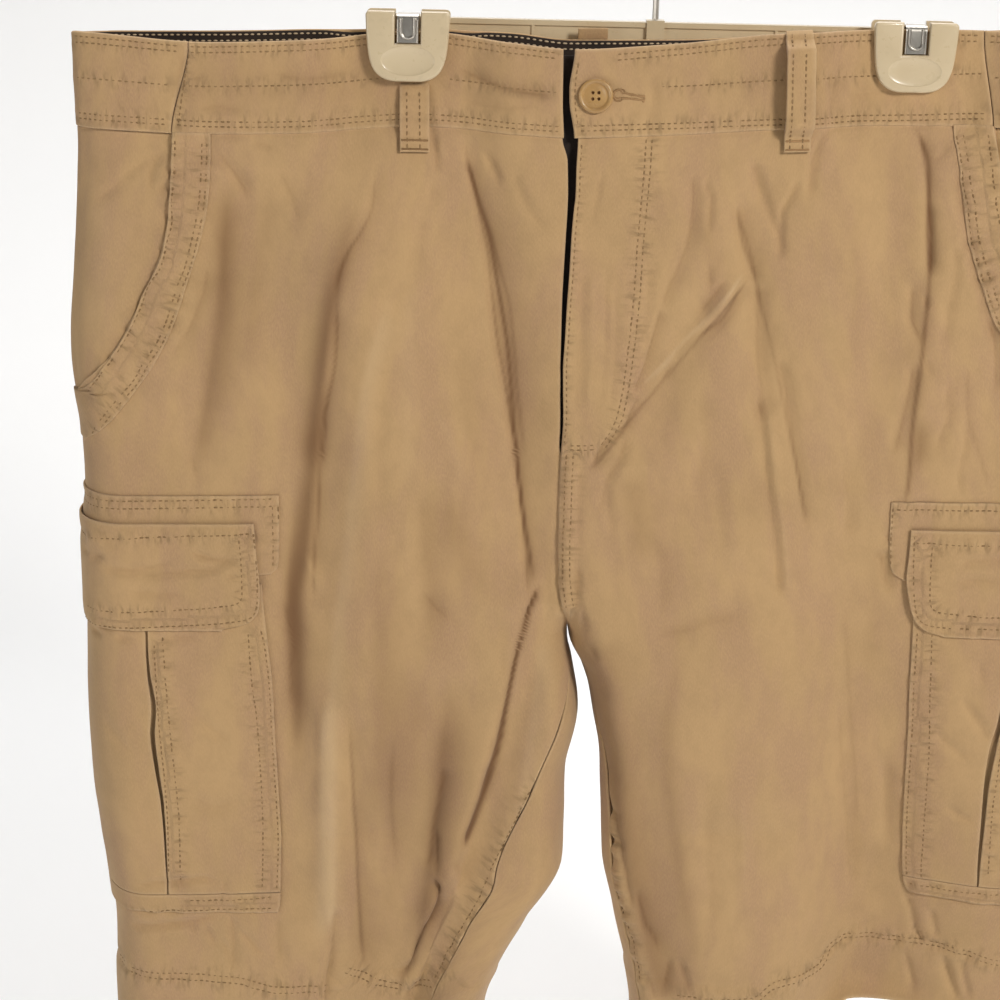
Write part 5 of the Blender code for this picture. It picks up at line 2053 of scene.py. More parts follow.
class Graph:
    """The nodes of one material."""

    def __init__(self, name: str) -> None:
        """Make an empty material with a Principled shader.

        Args:
            name: name of the material.
        """
        self.material = bpy.data.materials.new(name)
        self.material.use_nodes = True
        self.tree = self.material.node_tree
        self.shader = self.tree.nodes["Principled BSDF"]

    def put(self, socket: bpy.types.NodeSocket, value: object) -> None:
        """Link a wire to a socket, or set the socket's own value."""
        if isinstance(value, Wire):
            self.tree.links.new(value.socket, socket)
        else:
            socket.default_value = value

    def node(
        self,
        kind: str,
        settings: dict | None = None,
        sockets: dict | None = None,
        out: str | int = 0,
    ) -> Wire:
        """Add a node.

        Args:
            kind: the node's type.
            settings: its properties.
            sockets: values or wires of its inputs.
            out: the output that is returned.

        Returns:
            The chosen output.
        """
        made = self.tree.nodes.new(kind)
        for key, value in (settings or {}).items():
            setattr(made, key, value)
        for key, value in (sockets or {}).items():
            self.put(made.inputs[key], value)
        return Wire(self, made.outputs[out])

    def mix(self, share: Wire | float, first: object, second: object) -> Wire:
        """Mix two colours."""
        sockets = {0: share, 6: first, 7: second}
        return self.node("ShaderNodeMix", {"data_type": "RGBA"}, sockets, 2)

    def noise(
        self, vector: Wire, scale: float, detail: float = 2.0, roughness: float = 0.5
    ) -> Wire:
        """Noise about 0.5, by cells to the unit of the vector."""
        sockets = {"Vector": vector, "Scale": scale, "Detail": detail, "Roughness": roughness}
        return self.node("ShaderNodeTexNoise", None, sockets, 0)

    def stretched(
        self, vector: Wire, scale: tuple[float, float, float], turn: float = 0.0
    ) -> Wire:
        """A vector stretched and turned."""
        sockets = {"Vector": vector, "Scale": scale, "Rotation": (0.0, 0.0, turn)}
        return self.node("ShaderNodeMapping", None, sockets, 0)

    def finish(self, **values: object) -> bpy.types.Material:
        """Set the shader's sockets, by name with underscores for spaces."""
        for key, value in values.items():
            self.put(self.shader.inputs[key.replace("_", " ")], value)
        return self.material


Colour = tuple[float, float, float]


def shade(colour: Colour, factor: float) -> tuple[float, float, float, float]:
    """A colour made lighter or darker, with full alpha."""
    return (*(min(channel * factor, 1.0) for channel in colour), 1.0)


@dataclass(frozen=True)
class Twill:
    """Washed cotton twill: pale worn edges, seam puckers, painted shade and painted highlights."""

    name: str
    colour: Colour
    # pale colour of worn edges, also used for painted highlights and painted light
    worn_and_painted_light: Colour
    # colour of the painted shade in the creases and the dark stretches
    painted_shade: Colour
    cool: Colour
    ribs: float = 1450.0  # to the metre, like the next five
    fibres: float = 1500.0
    puckers: float = 330.0
    crumples: float = 130.0
    streaks: float = 42.0
    blotches: float = 14.0
    worn_and_lit_edge: float = 0.0022  # width of the pale edge, in metres
    relief: float = 0.0011  # in metres
    roughness: float = 0.93

    def material(self) -> bpy.types.Material:
        """The finish as a material.

        Returns:
            The new material.
        """
        g = Graph(self.name)
        cloth = g.node("ShaderNodeUVMap", {"uv_map": "cloth"})
        seam = g.node("ShaderNodeAttribute", {"attribute_name": "seam"}, None, "Vector")
        edge = g.node("ShaderNodeAttribute", {"attribute_name": "edge"}, None, "Fac")
        # painted shade and painted light from the creases and SHADOWS, stored per point
        shadow = g.node("ShaderNodeAttribute", {"attribute_name": "shade"}, None, "Fac")
        parts = g.node("ShaderNodeSeparateXYZ", None, {0: seam})
        across = Wire(g, parts.socket.node.outputs[1])
        strength = Wire(g, parts.socket.node.outputs[2])
        blotch = g.noise(cloth, self.blotches, 3.0)
        crumple = g.noise(g.stretched(cloth, (1.0, 0.6, 1.0)), self.crumples, 4.0, 0.62)
        fibre = g.noise(g.stretched(cloth, (1.0, 0.35, 1.0), 0.9), self.fibres, 2.0)
        rib = g.node(
            "ShaderNodeTexWave",
            {"wave_type": "BANDS", "bands_direction": "DIAGONAL"},
            {"Vector": cloth, "Scale": self.ribs / 6.28, "Distortion": 1.2, "Detail": 1.0},
            1,
        )
        ladder_place = g.node("ShaderNodeCombineXYZ", None, {0: parts, 1: across * 0.28})
        ladder = g.noise(ladder_place, self.puckers, 2.0, 0.6)
        # painted shade in the troughs of the seam puckers
        pucker_shade = (ladder.step(0.30, 0.52) * -1.0 + 1.0) * strength
        # pale edges, partly wear and partly a painted highlight along the rounded edge
        wear_and_highlight = (edge.step(0.0, self.worn_and_lit_edge) * -1.0 + 1.0) * (crumple * 0.8 + 0.45)
        # painted highlight on the crests of the seam puckers
        wear_and_highlight = wear_and_highlight + ladder.step(0.52, 0.75) * strength * 0.32
        tone = g.mix(blotch.step(0.36, 0.66), shade(self.colour, 0.95), shade(self.colour, 1.05))
        streak = g.noise(g.stretched(cloth, (1.0, 0.3, 1.0), 0.12), self.streaks, 4.0, 0.6)
        tone = g.mix(streak.step(0.40, 0.66) * 0.62, tone, (*self.cool, 1.0))
        tone = g.mix(fibre.step(0.3, 0.75) * 0.55, tone, shade(self.colour, 1.13))
        # painted shade in the hollows of the crumple
        tone = g.mix(crumple.step(0.58, 0.34) * 0.2, tone, shade(self.colour, 0.78))
        # painted shade where the shade attribute is above zero, painted light where below
        tone = g.mix(shadow.step(0.0, 1.0), tone, shade(self.painted_shade, 1.0))
        tone = g.mix((shadow * -1.0).step(0.0, 1.0) * 0.6, tone, (*self.worn_and_painted_light, 1.0))
        tone = g.mix(pucker_shade * 0.85, tone, shade(self.colour, 0.62))
        tone = g.mix(wear_and_highlight * 0.22, tone, (*self.worn_and_painted_light, 1.0))
        height = crumple * 0.55 + ladder * strength * 1.3 + rib * 0.05 + fibre * 0.16
        bump = g.node(
            "ShaderNodeBump", None, {"Height": height, "Strength": 0.55, "Distance": self.relief}
        )
        return g.finish(
            Base_Color=tone,
            Roughness=self.roughness,
            Normal=bump,
            Specular_IOR_Level=0.18,
            Sheen_Weight=0.12,
            Sheen_Roughness=0.6,
        )


@dataclass(frozen=True)
class Plain:
    """A finish of one tone that varies a little, on the object's own coordinates."""

    name: str
    colour: Colour
    second: Colour
    roughness: float
    grain: float  # cells to the metre
    relief: float  # of the grain, in metres
    metallic: float = 0.0
    coat: float = 0.0

    def material(self) -> bpy.types.Material:
        """The finish as a material.

        Returns:
            The new material.
        """
        g = Graph(self.name)
        place = g.node("ShaderNodeTexCoord", None, None, "Object")
        cloud = g.noise(place, 45.0, 3.0)
        grain = g.noise(place, self.grain, 3.0)
        tone = g.mix(cloud.step(0.35, 0.68), (*self.colour, 1.0), (*self.second, 1.0))
        tone = g.mix(grain.step(0.55, 0.8) * 0.35, tone, shade(self.second, 0.8))
        bump = g.node(
            "ShaderNodeBump", None, {"Height": grain, "Strength": 0.4, "Distance": self.relief}
        )
        rough = grain * 0.16 + (self.roughness - 0.08)
        return g.finish(
            Base_Color=tone,
            Roughness=rough,
            Metallic=self.metallic,
            Coat_Weight=self.coat,
            Normal=bump,
        )


# tone, pale worn edges and painted light, painted shade, cool streaks
KHAKI = Twill(
    "khaki_twill",
    (0.425, 0.272, 0.13),
    (0.61, 0.45, 0.27),
    (0.16, 0.08, 0.034),
    (0.35, 0.208, 0.125),
)
DARK = Plain("dark_facing", (0.026, 0.015, 0.009), (0.016, 0.010, 0.007), 0.9, 900.0, 0.0004)
THREAD = Plain("sewing_thread", (0.21, 0.125, 0.05), (0.27, 0.165, 0.07), 0.8, 2500.0, 0.0001)
TAN_THREAD = Plain("tan_thread", (0.36, 0.21, 0.09), (0.2, 0.11, 0.042), 0.8, 2500.0, 0.0001)
PALE_THREAD = Plain("pale_thread", (0.55, 0.42, 0.27), (0.42, 0.31, 0.19), 0.8, 2500.0, 0.0001)
CREAM = Plain(
    "cream_plastic", (0.56, 0.45, 0.29), (0.53, 0.42, 0.265), 0.3, 260.0, 0.00005, 0.0, 0.15
)
HORN = Plain(
    "horn_button", (0.43, 0.255, 0.095), (0.34, 0.195, 0.07), 0.3, 300.0, 0.00008, 0.0, 0.4
)
STEEL = Plain("steel", (0.6, 0.56, 0.5), (0.46, 0.43, 0.38), 0.34, 700.0, 0.00003, 1.0)


class Stitching:
    """Rows of thread laid by one node tree along guide lines on the cloth."""

    def __init__(self) -> None:
        """Build the node tree once."""
        self.tree, self.inputs = self.make_tree()
        self.guides: dict[str, list[tuple[Points, Points, float]]] = {}

    @staticmethod
    def make_tree() -> tuple[bpy.types.GeometryNodeTree, dict[str, str]]:
        """A tree that turns guide lines into stitches.

        Returns:
            The tree and the identifier of each named input.
        """
        tree = bpy.data.node_groups.new("stitches", "GeometryNodeTree")
        tree.interface.new_socket("Guides", in_out="INPUT", socket_type="NodeSocketGeometry")
        sizes = (("Pitch", 0.0031), ("Fill", 0.72), ("Width", 0.00048), ("Height", 0.0003))
        for name, value in sizes:
            socket = tree.interface.new_socket(name, in_out="INPUT", socket_type="NodeSocketFloat")
            socket.default_value = value
        tree.interface.new_socket("Seed", in_out="INPUT", socket_type="NodeSocketInt")
        tree.interface.new_socket("Thread", in_out="INPUT", socket_type="NodeSocketMaterial")
        tree.interface.new_socket("Stitches", in_out="OUTPUT", socket_type="NodeSocketGeometry")
        identifiers = {
            item.name: item.identifier
            for item in tree.interface.items_tree
            if item.in_out == "INPUT"
        }

        def node(kind: str, settings: dict | None = None, **sockets: object) -> bpy.types.Node:
            """Add a node, with its sockets set or linked by position (_0) or by name.

            Args:
                kind: type of the node, without its prefix.
                settings: values of the node's own properties.
                **sockets: values or sockets for its inputs.

            Returns:
                The node.
            """
            made = tree.nodes.new(kind)
            for key, value in (settings or {}).items():
                setattr(made, key, value)
            for key, value in sockets.items():
                target = made.inputs[int(key[1:]) if key[0] == "_" else key.replace("_", " ")]
                if isinstance(value, bpy.types.NodeSocket):
                    tree.links.new(value, target)
                else:
                    target.default_value = value
            return made

        start = tree.nodes.new("NodeGroupInput").outputs
        curves = node("GeometryNodeMeshToCurve", _0=start["Guides"])
        even = node(
            "GeometryNodeResampleCurve", {
                "mode": "LENGTH"
            }, Curve=curves.outputs[0], Length=start["Pitch"]
        )
        line = node("GeometryNodeCurveToMesh", _0=even.outputs[0])
        ends = node("GeometryNodeInputMeshEdgeVertices")
        run = node(
            "ShaderNodeVectorMath",
            {"operation": "SUBTRACT"},
            _0=ends.outputs[3],
            _1=ends.outputs[2],
        )
        outward = node(
            "GeometryNodeInputNamedAttribute", {"data_type": "FLOAT_VECTOR"}, Name="out"
        )
        first = node(
            "GeometryNodeCaptureAttribute", {"domain": "EDGE"}, _0=line.outputs[0]
        )
        first.capture_items.new("VECTOR", "run")
        first.capture_items.new("VECTOR", "out")
        tree.links.new(run.outputs[0], first.inputs[1])
        tree.links.new(outward.outputs[0], first.inputs[2])
        places = node("GeometryNodeMeshToPoints", {"mode": "EDGES"}, Mesh=first.outputs[0])
        ball = node("GeometryNodeMeshUVSphere", Segments=6, Rings=4, Radius=1.0)
        turn = node(
            "FunctionNodeAxesToRotation",
            {"primary_axis": "X", "secondary_axis": "Z"},
            _0=first.outputs[1],
            _1=first.outputs[2],
        )
        length = node("ShaderNodeVectorMath", {"operation": "LENGTH"}, _0=first.outputs[1])
        uneven = node(
            "FunctionNodeRandomValue", {"data_type": "FLOAT"}, _2=0.82, _3=1.12, Seed=start["Seed"]
        )
        half = node(
            "ShaderNodeMath",
            {"operation": "MULTIPLY"},
            _0=length.outputs["Value"],
            _1=start["Fill"],
        )
        half = node("ShaderNodeMath", {"operation": "MULTIPLY"}, _0=half.outputs[0], _1=0.5)
        half = node(
            "ShaderNodeMath", {"operation": "MULTIPLY"}, _0=half.outputs[0], _1=uneven.outputs[1]
        )
        size = node(
            "ShaderNodeCombineXYZ", _0=half.outputs[0], _1=start["Width"], _2=start["Height"]
        )
        laid = node(
            "GeometryNodeInstanceOnPoints",
            Points=places.outputs[0],
            Instance=ball.outputs[0],
            Rotation=turn.outputs[0],
            Scale=size.outputs[0],
        )
        real = node("GeometryNodeRealizeInstances", _0=laid.outputs[0])
        made = node("GeometryNodeSetMaterial", Geometry=real.outputs[0], Material=start["Thread"])
        end = tree.nodes.new("NodeGroupOutput")
        tree.links.new(made.outputs[0], end.inputs[0])
        return tree, identifiers

    def add(self, group: str, points: Points, normals: Points, pitch: float = 3.1) -> None:
        """Keep a guide line for a group: points from centre front and the normals there."""
        self.guides.setdefault(group, []).append((points, normals, pitch))

    def along(self, group: str, piece: Cloth, row: StitchRow) -> None:
        """Lay a row's guide lines on a piece."""
        side = piece.form.side
        for line in row.lines():
            levels = line[:, 1]
            distances = np.array([piece.form.distance(x, z, row.face) for x, z in line])
            low = np.minimum(piece.distances[:, 0], piece.distances[:, -1])
            high = np.maximum(piece.distances[:, 0], piece.distances[:, -1])
            order = np.argsort(piece.levels[:, 0])
            own = piece.levels[order, 0]
            inside = (levels < own[-1] - 0.4) & (levels > own[0] + 0.4) & (
                side.value * line[:, 0] > -8
            )
            inside &= distances > np.interp(levels, own, low[order]) + 0.4
            inside &= distances < np.interp(levels, own, high[order]) - 0.4
            places = np.flatnonzero(inside)
            for run in np.split(places, np.flatnonzero(np.diff(places) > 1) + 1):
                if len(run) > 1:
                    points, normals = piece.at(levels[run], distances[run], 0.02)
                    self.add(group, points, normals, row.pitch)

    def satin(
        self, group: str, piece: Cloth, start: float, end: float, top: float, foot: float
    ) -> None:
        """A tack: short stitches close together across a line on a piece.

        Args:
            group: the stitches' group.
            piece: the cloth it is sewn on.
            start: the line's first distance from the side seam.
            end: its last one.
            top: the level of its first end.
            foot: the level of its last end.
        """
        count = max(int(math.hypot(end - start, top - foot) / 0.6), 2)
        flat = abs(end - start) > abs(top - foot)
        reach = np.array([-0.9, 0.9])
        levels = np.linspace(top, foot, count)[:, None] + reach * flat
        distances = np.linspace(start, end, count)[:, None] + reach * (not flat)
        points, normals = piece.at(levels, distances, 0.1)
        for line, outward in zip(points, normals):
            self.add(group, line, outward, 1.6)

    def build(self, group: str, material: bpy.types.Material) -> bpy.types.Object:
        """The stitches of a group as one mesh.

        Args:
            group: name of the group of rows.
            material: material of the thread.

        Returns:
            The mesh as an object in the scene.
        """
        points, normals, edges = [], [], []
        for line, outward, _ in self.guides[group]:
            first = len(points)
            points.extend(world(line).tolist())
            normals.extend(outward.tolist())
            edges.extend((first + k, first + k + 1) for k in range(len(line) - 1))
        mesh = bpy.data.meshes.new(f"{group}_guides")
        mesh.from_pydata(points, edges, [])
        layer = mesh.attributes.new("out", "FLOAT_VECTOR", "POINT")
        layer.data.foreach_set("vector", np.array(normals, np.float32).ravel())
        guide = linked(f"{group}_guides", mesh)
        modifier = guide.modifiers.new("stitches", "NODES")
        modifier.node_group = self.tree
        modifier[self.inputs["Seed"]] = len(group)
        modifier[self.inputs["Pitch"]] = self.guides[group][0][2] * MM
        modifier[self.inputs["Thread"]] = material
        evaluated = guide.evaluated_get(bpy.context.evaluated_depsgraph_get())
        mesh = bpy.data.meshes.new_from_object(evaluated)
        mesh.shade_smooth()
        bpy.data.objects.remove(guide)
        return linked(group, mesh)


def solid(
    name: str, points: Points, faces: Sequence[Sequence[int]], sharp: float = 40.0
) -> bpy.types.Object:
    """A closed solid from points in metres, its faces outwards.

    Args:
        name: the object's name.
        points: its corners.
        faces: indices of each face's corners.
        sharp: edges turn sharp above this angle, in degrees.

    Returns:
        The object.
    """
    mesh = bpy.data.meshes.new(name)
    mesh.from_pydata(np.asarray(points).tolist(), [], faces)
    made = linked(name, mesh)
    face_outwards(made)
    mesh.shade_smooth()
    mesh.set_sharp_from_angle(angle=math.radians(sharp))
    return made


def drawn_out(count: int) -> list[list[int]]:
    """Faces of a solid between two copies of an outline of so many points.

    Args:
        count: number of points of the outline.

    Returns:
        The faces, as indices of their points.
    """
    faces = [list(range(count)), list(range(count, 2 * count))]
    faces += [[k, (k + 1) % count, count + (k + 1) % count, count + k] for k in range(count)]
    return faces


def cut_away(made: bpy.types.Object, tool: bpy.types.Object) -> None:
    """Let the tool cut into a piece."""
    cut = made.modifiers.new(tool.name, "BOOLEAN")
    cut.operation, cut.solver, cut.object = "DIFFERENCE", "EXACT", tool


def tube(path: Points, radius: float, sides: int = 10) -> tuple[Points, list[list[int]]]:
    """Points and faces of a round bar along a path.

    Args:
        path: points of the middle line, one row each.
        radius: the bar's radius.
        sides: number of sides of its section.

    Returns:
        Its points, and its faces as indices of them.
    """
    run = np.gradient(path, axis=0)
    run /= np.linalg.norm(run, axis=1)[:, None]
    across = np.cross(run, (0.0, 1.0, 0.0))
    across /= np.linalg.norm(across, axis=1)[:, None]
    other = np.cross(run, across)
    turns = np.linspace(0, 2 * math.pi, sides, endpoint=False)[:, None, None]
    rings = path + radius * (np.cos(turns) * across + np.sin(turns) * other)
    rings = rings.transpose(1, 0, 2)
    faces = [list(range(sides)), list(range(len(path) * sides - sides, len(path) * sides))]
    for k in range(len(path) - 1):
        for j in range(sides):
            after = (j + 1) % sides
            faces.append(
                [k * sides + j, k * sides + after, (k + 1) * sides + after, (k + 1) * sides + j]
            )
    return rings.reshape(-1, 3), faces


def quarter(
    x: float, z: float, radius: float, start: float, steps: int = 9
) -> list[tuple[float, float]]:
    """Points of a quarter circle, counter-clockwise from the start angle."""
    turns = np.radians(start + np.linspace(0, 90, steps))
    return [(x + radius * math.cos(turn), z + radius * math.sin(turn)) for turn in turns]


@dataclass(frozen=True)
class BeltLoop:
    """A folded strip, stitched down at both ends and standing off the band between them."""

    name: str
    side: Side
    face: Face
    centre: float
    stand_off: float = 7.2
    high: float = 4.0
    low: float = -54.0
    width: float = 15.0
    wall: float = 1.4
    rows: tuple[float, float] = (-2.6, 3.8)

    def cloth(self) -> Cloth:
        """The strip.

        Returns:
            The strip as a piece of cloth.
        """
        form = FORMS[self.side]
        levels = self.high - stations(self.high - self.low, 1.2)
        middle = np.array([form.distance(self.centre, z, self.face) for z in levels])
        across = stations(self.width, 1.1) - self.width / 2

        def risen(distances: Points, x: Points, z: Points) -> Points:
            """Height of the loop between its ends, and of its turned ends.

            Args:
                distances: not used.
                x: not used.
                z: places in height, in mm.

            Returns:
                Height at each place, in mm.
            """
            share = ease((z - self.low - 5) / 9) * ease((self.high - 3 - z) / 7)
            ends = ease((self.low + 7 - z) / 1.5) + ease((z - self.high + 6) / 1.5)
            return self.stand_off * share + 0.55 * ends - 2.2 * ease((z - self.high + 2.6) / 2.6)

        rows, columns = np.meshgrid(levels, across, indexing="ij")
        return Cloth(
            self.name,
            form,
            rows,
            middle[:, None] + columns,
            lift=0.8 + GAP + self.wall,
            wall=self.wall,
            soft=0.6,
            shape=risen,
        )

    def sew(self, piece: Cloth, sewing: Stitching) -> None:
        """Two rows along the strip, and two tacks across its lower end.

        Args:
            piece: the loop's own piece of cloth.
            sewing: stitching that takes the rows.
        """
        levels = np.linspace(self.high - 1, self.low + 1, 30)
        turn = 1 if (self.face is Face.FRONT) == (self.side is Side.LEFT) else -1
        middle = np.array([piece.form.distance(self.centre, z, self.face) for z in levels])
        for row in self.rows:
            points, normals = piece.at(levels, middle - turn * row, 0.05)
            sewing.add(f"stitches_{self.name}", points, normals)
        half = self.width / 2 - 1.1
        for level in (self.low + 1.2, self.low + 5.5):
            place = piece.form.distance(self.centre, level, self.face)
            sewing.satin(f"tacks_{self.name}", piece, place - half, place + half, level, level)


@dataclass(frozen=True)
class Linings:
    """Dark facing inside the back of the waistband, and the shield behind the fly."""

    facing_top: float = 3.6
    facing_end: float = -41.0
    facing_wall: float = 0.8
    shield_ends: tuple[float, float] = (-16.0, 26.0)
    shield_wall: float = 1.0
    behind: float = BAND_WALL - 0.5 + GAP + 0.3

    def sheet_of(
        self, name: str, face: Face, x: Points, levels: Points, inward: float, wall: float
    ) -> tuple:
        """A thin sheet inside the front or back cloth.

        Args:
            name: the object's name.
            face: the cloth it lies in.
            x: its columns' distances from centre front.
            levels: its rows' levels.
            inward: how far inside the cloth it lies.
            wall: its thickness.

        Returns:
            The object and the grid of its side towards the front.
        """
        depth = np.array(
            [
                [
                    float(
                        depth_at(Side.RIGHT if out > 0 else Side.LEFT, face, np.array([out]), z)[0]
                    ) for out in x
                ]
                for z in levels
            ]
        )
        rows, columns = np.meshgrid(levels, x, indexing="ij")
        near, far = (
            lifted(
                np.stack([columns, depth - face.value * moved, rows], axis=-1).reshape(-1, 3)
            ).reshape(*rows.shape, 3)
            for moved in (
                (inward + wall, inward) if face is Face.BACK else (inward, inward + wall)
            )
        )
        made = shell(name, near, far[::COARSE, ::COARSE])
        return made, near

    def make(self, sewing: Stitching) -> None:
        """Both linings, with the rows sewn along the facing's top.

        Args:
            sewing: stitching that takes the rows.
        """
        reach = [float(SECTIONS[side].at("outer", 0.0)) for side in Side]
        x = np.linspace(max(-262, -reach[0] + 7), min(262, reach[1] - 7), 3 * 62 + 1)
        levels = np.linspace(self.facing_top, self.facing_end, 3 * 10 + 1)
        facing, near = self.sheet_of(
            "waistband_facing_cloth", Face.BACK, x, levels, self.behind, self.facing_wall
        )
        keep(facing, look(DARK), "dark_facing", "waistband_facing")
        for row in (1, 3):
            points = near[row] + (0.0, -0.12, 0.0)
            sewing.add("stitches_facing", points, np.tile((0.0, -1.0, 0.2), (len(points), 1)))
        x = np.linspace(*self.shield_ends, 3 * 6 + 1)
        levels = np.linspace(0, FLY_END, 3 * 24 + 1)
        shield, near = self.sheet_of(
            "fly_shield_cloth", Face.FRONT, x, levels, self.behind + 3.4, self.shield_wall
        )
        # Dark like the facing cloth, and its darkness also stands for the shade in the fly's gap.
        keep(shield, look(DARK), "dark_facing", "fly_shield")


@dataclass(frozen=True)
class WaistButton:
    """Four-hole button with a raised rim, lying on the slope of the front band."""

    x: float = 11.7
    z: float = -26.5
    reach: float = 7.0
    off: float = 1.1
    segments: int = 72
    hole: float = 0.85
    spacing: float = 2.15
    profile: tuple[tuple[float, float], ...] = (
        (0.0,
         2.35), (3.4, 2.3), (4.9, 2.2), (5.6, 1.95), (6.0, 2.05), (6.5, 2.7), (7.1, 3.2),
          (7.7, 3.3),
        (8.3, 3.0), (8.65, 2.4), (8.7, 1.8), (8.3, 1.0), (7.2, 0.3), (5.6, 0.0), (0.0, 0.0),
    )

    def make(self) -> None:
        """The button, turned from its profile and drilled."""
        turns = np.linspace(0, 2 * math.pi, self.segments, endpoint=False)
        points = [(0.0, 0.0, self.profile[0][1])]
        for radius, out in self.profile[1:-1]:
            points.extend(
                (radius * math.cos(turn), radius * math.sin(turn), out) for turn in turns
            )
        points.append((0.0, 0.0, 0.0))
        count, rings = self.segments, len(self.profile) - 2
        faces = []
        for j in range(count):
            after = (j + 1) % count
            faces.append([0, 1 + j, 1 + after])
            last = 1 + (rings - 1) * count
            faces.append([last + j, len(points) - 1, last + after])
            for k in range(rings - 1):
                first = 1 + k * count
                faces.append([first + j, first + count + j, first + count + after, first + after])
        made = solid("waist_button_turned", np.array(points) * MM, faces)
        drills = []
        for k in range(4):
            turn = math.radians(45 + 90 * k)
            centre = np.array([self.spacing * math.cos(turn), self.spacing * math.sin(turn), 0.0])
            path = np.array([centre + (0, 0, out) for out in (-2.0, 1.0, 4.0, 8.0)])
            run_points, run_faces = tube(path, self.hole, 16)
            drill = solid(f"drill_{k}", run_points * MM, run_faces)
            cut_away(made, drill)
            drills.append(drill)
        level = self.z - float(SAG.at("front", self.x))
        y, above, below = (
            float(depth_at(Side.RIGHT, Face.FRONT, np.array([self.x]), level + shift)[0])
            for shift in (0, self.reach, -self.reach)
        )
        lean = math.radians(90) - math.atan2(above - below, 2 * self.reach)
        place = Matrix.Translation(
            world((self.x, y - self.off, self.z)).tolist()
        ) @ Matrix.Rotation(lean, 4, "X")
        finished(made, drills, place)
        keep(made, look(HORN), "horn_button", "waist_button")


def finished(made: bpy.types.Object, tools: Sequence[bpy.types.Object], place: Matrix) -> None:
    """Apply a piece's modifiers and its place, and remove the tools they use.

    Args:
        made: object of the piece.
        tools: objects that its modifiers cut with.
        place: where the piece stands.
    """
    evaluated = made.evaluated_get(bpy.context.evaluated_depsgraph_get())
    mesh = bpy.data.meshes.new_from_object(evaluated)
    made.modifiers.clear()
    made.data = mesh
    mesh.transform(place)
    mesh.materials.clear()
    mesh.shade_smooth()
    mesh.set_sharp_from_angle(angle=math.radians(38))
    for tool in tools:
        bpy.data.objects.remove(tool)


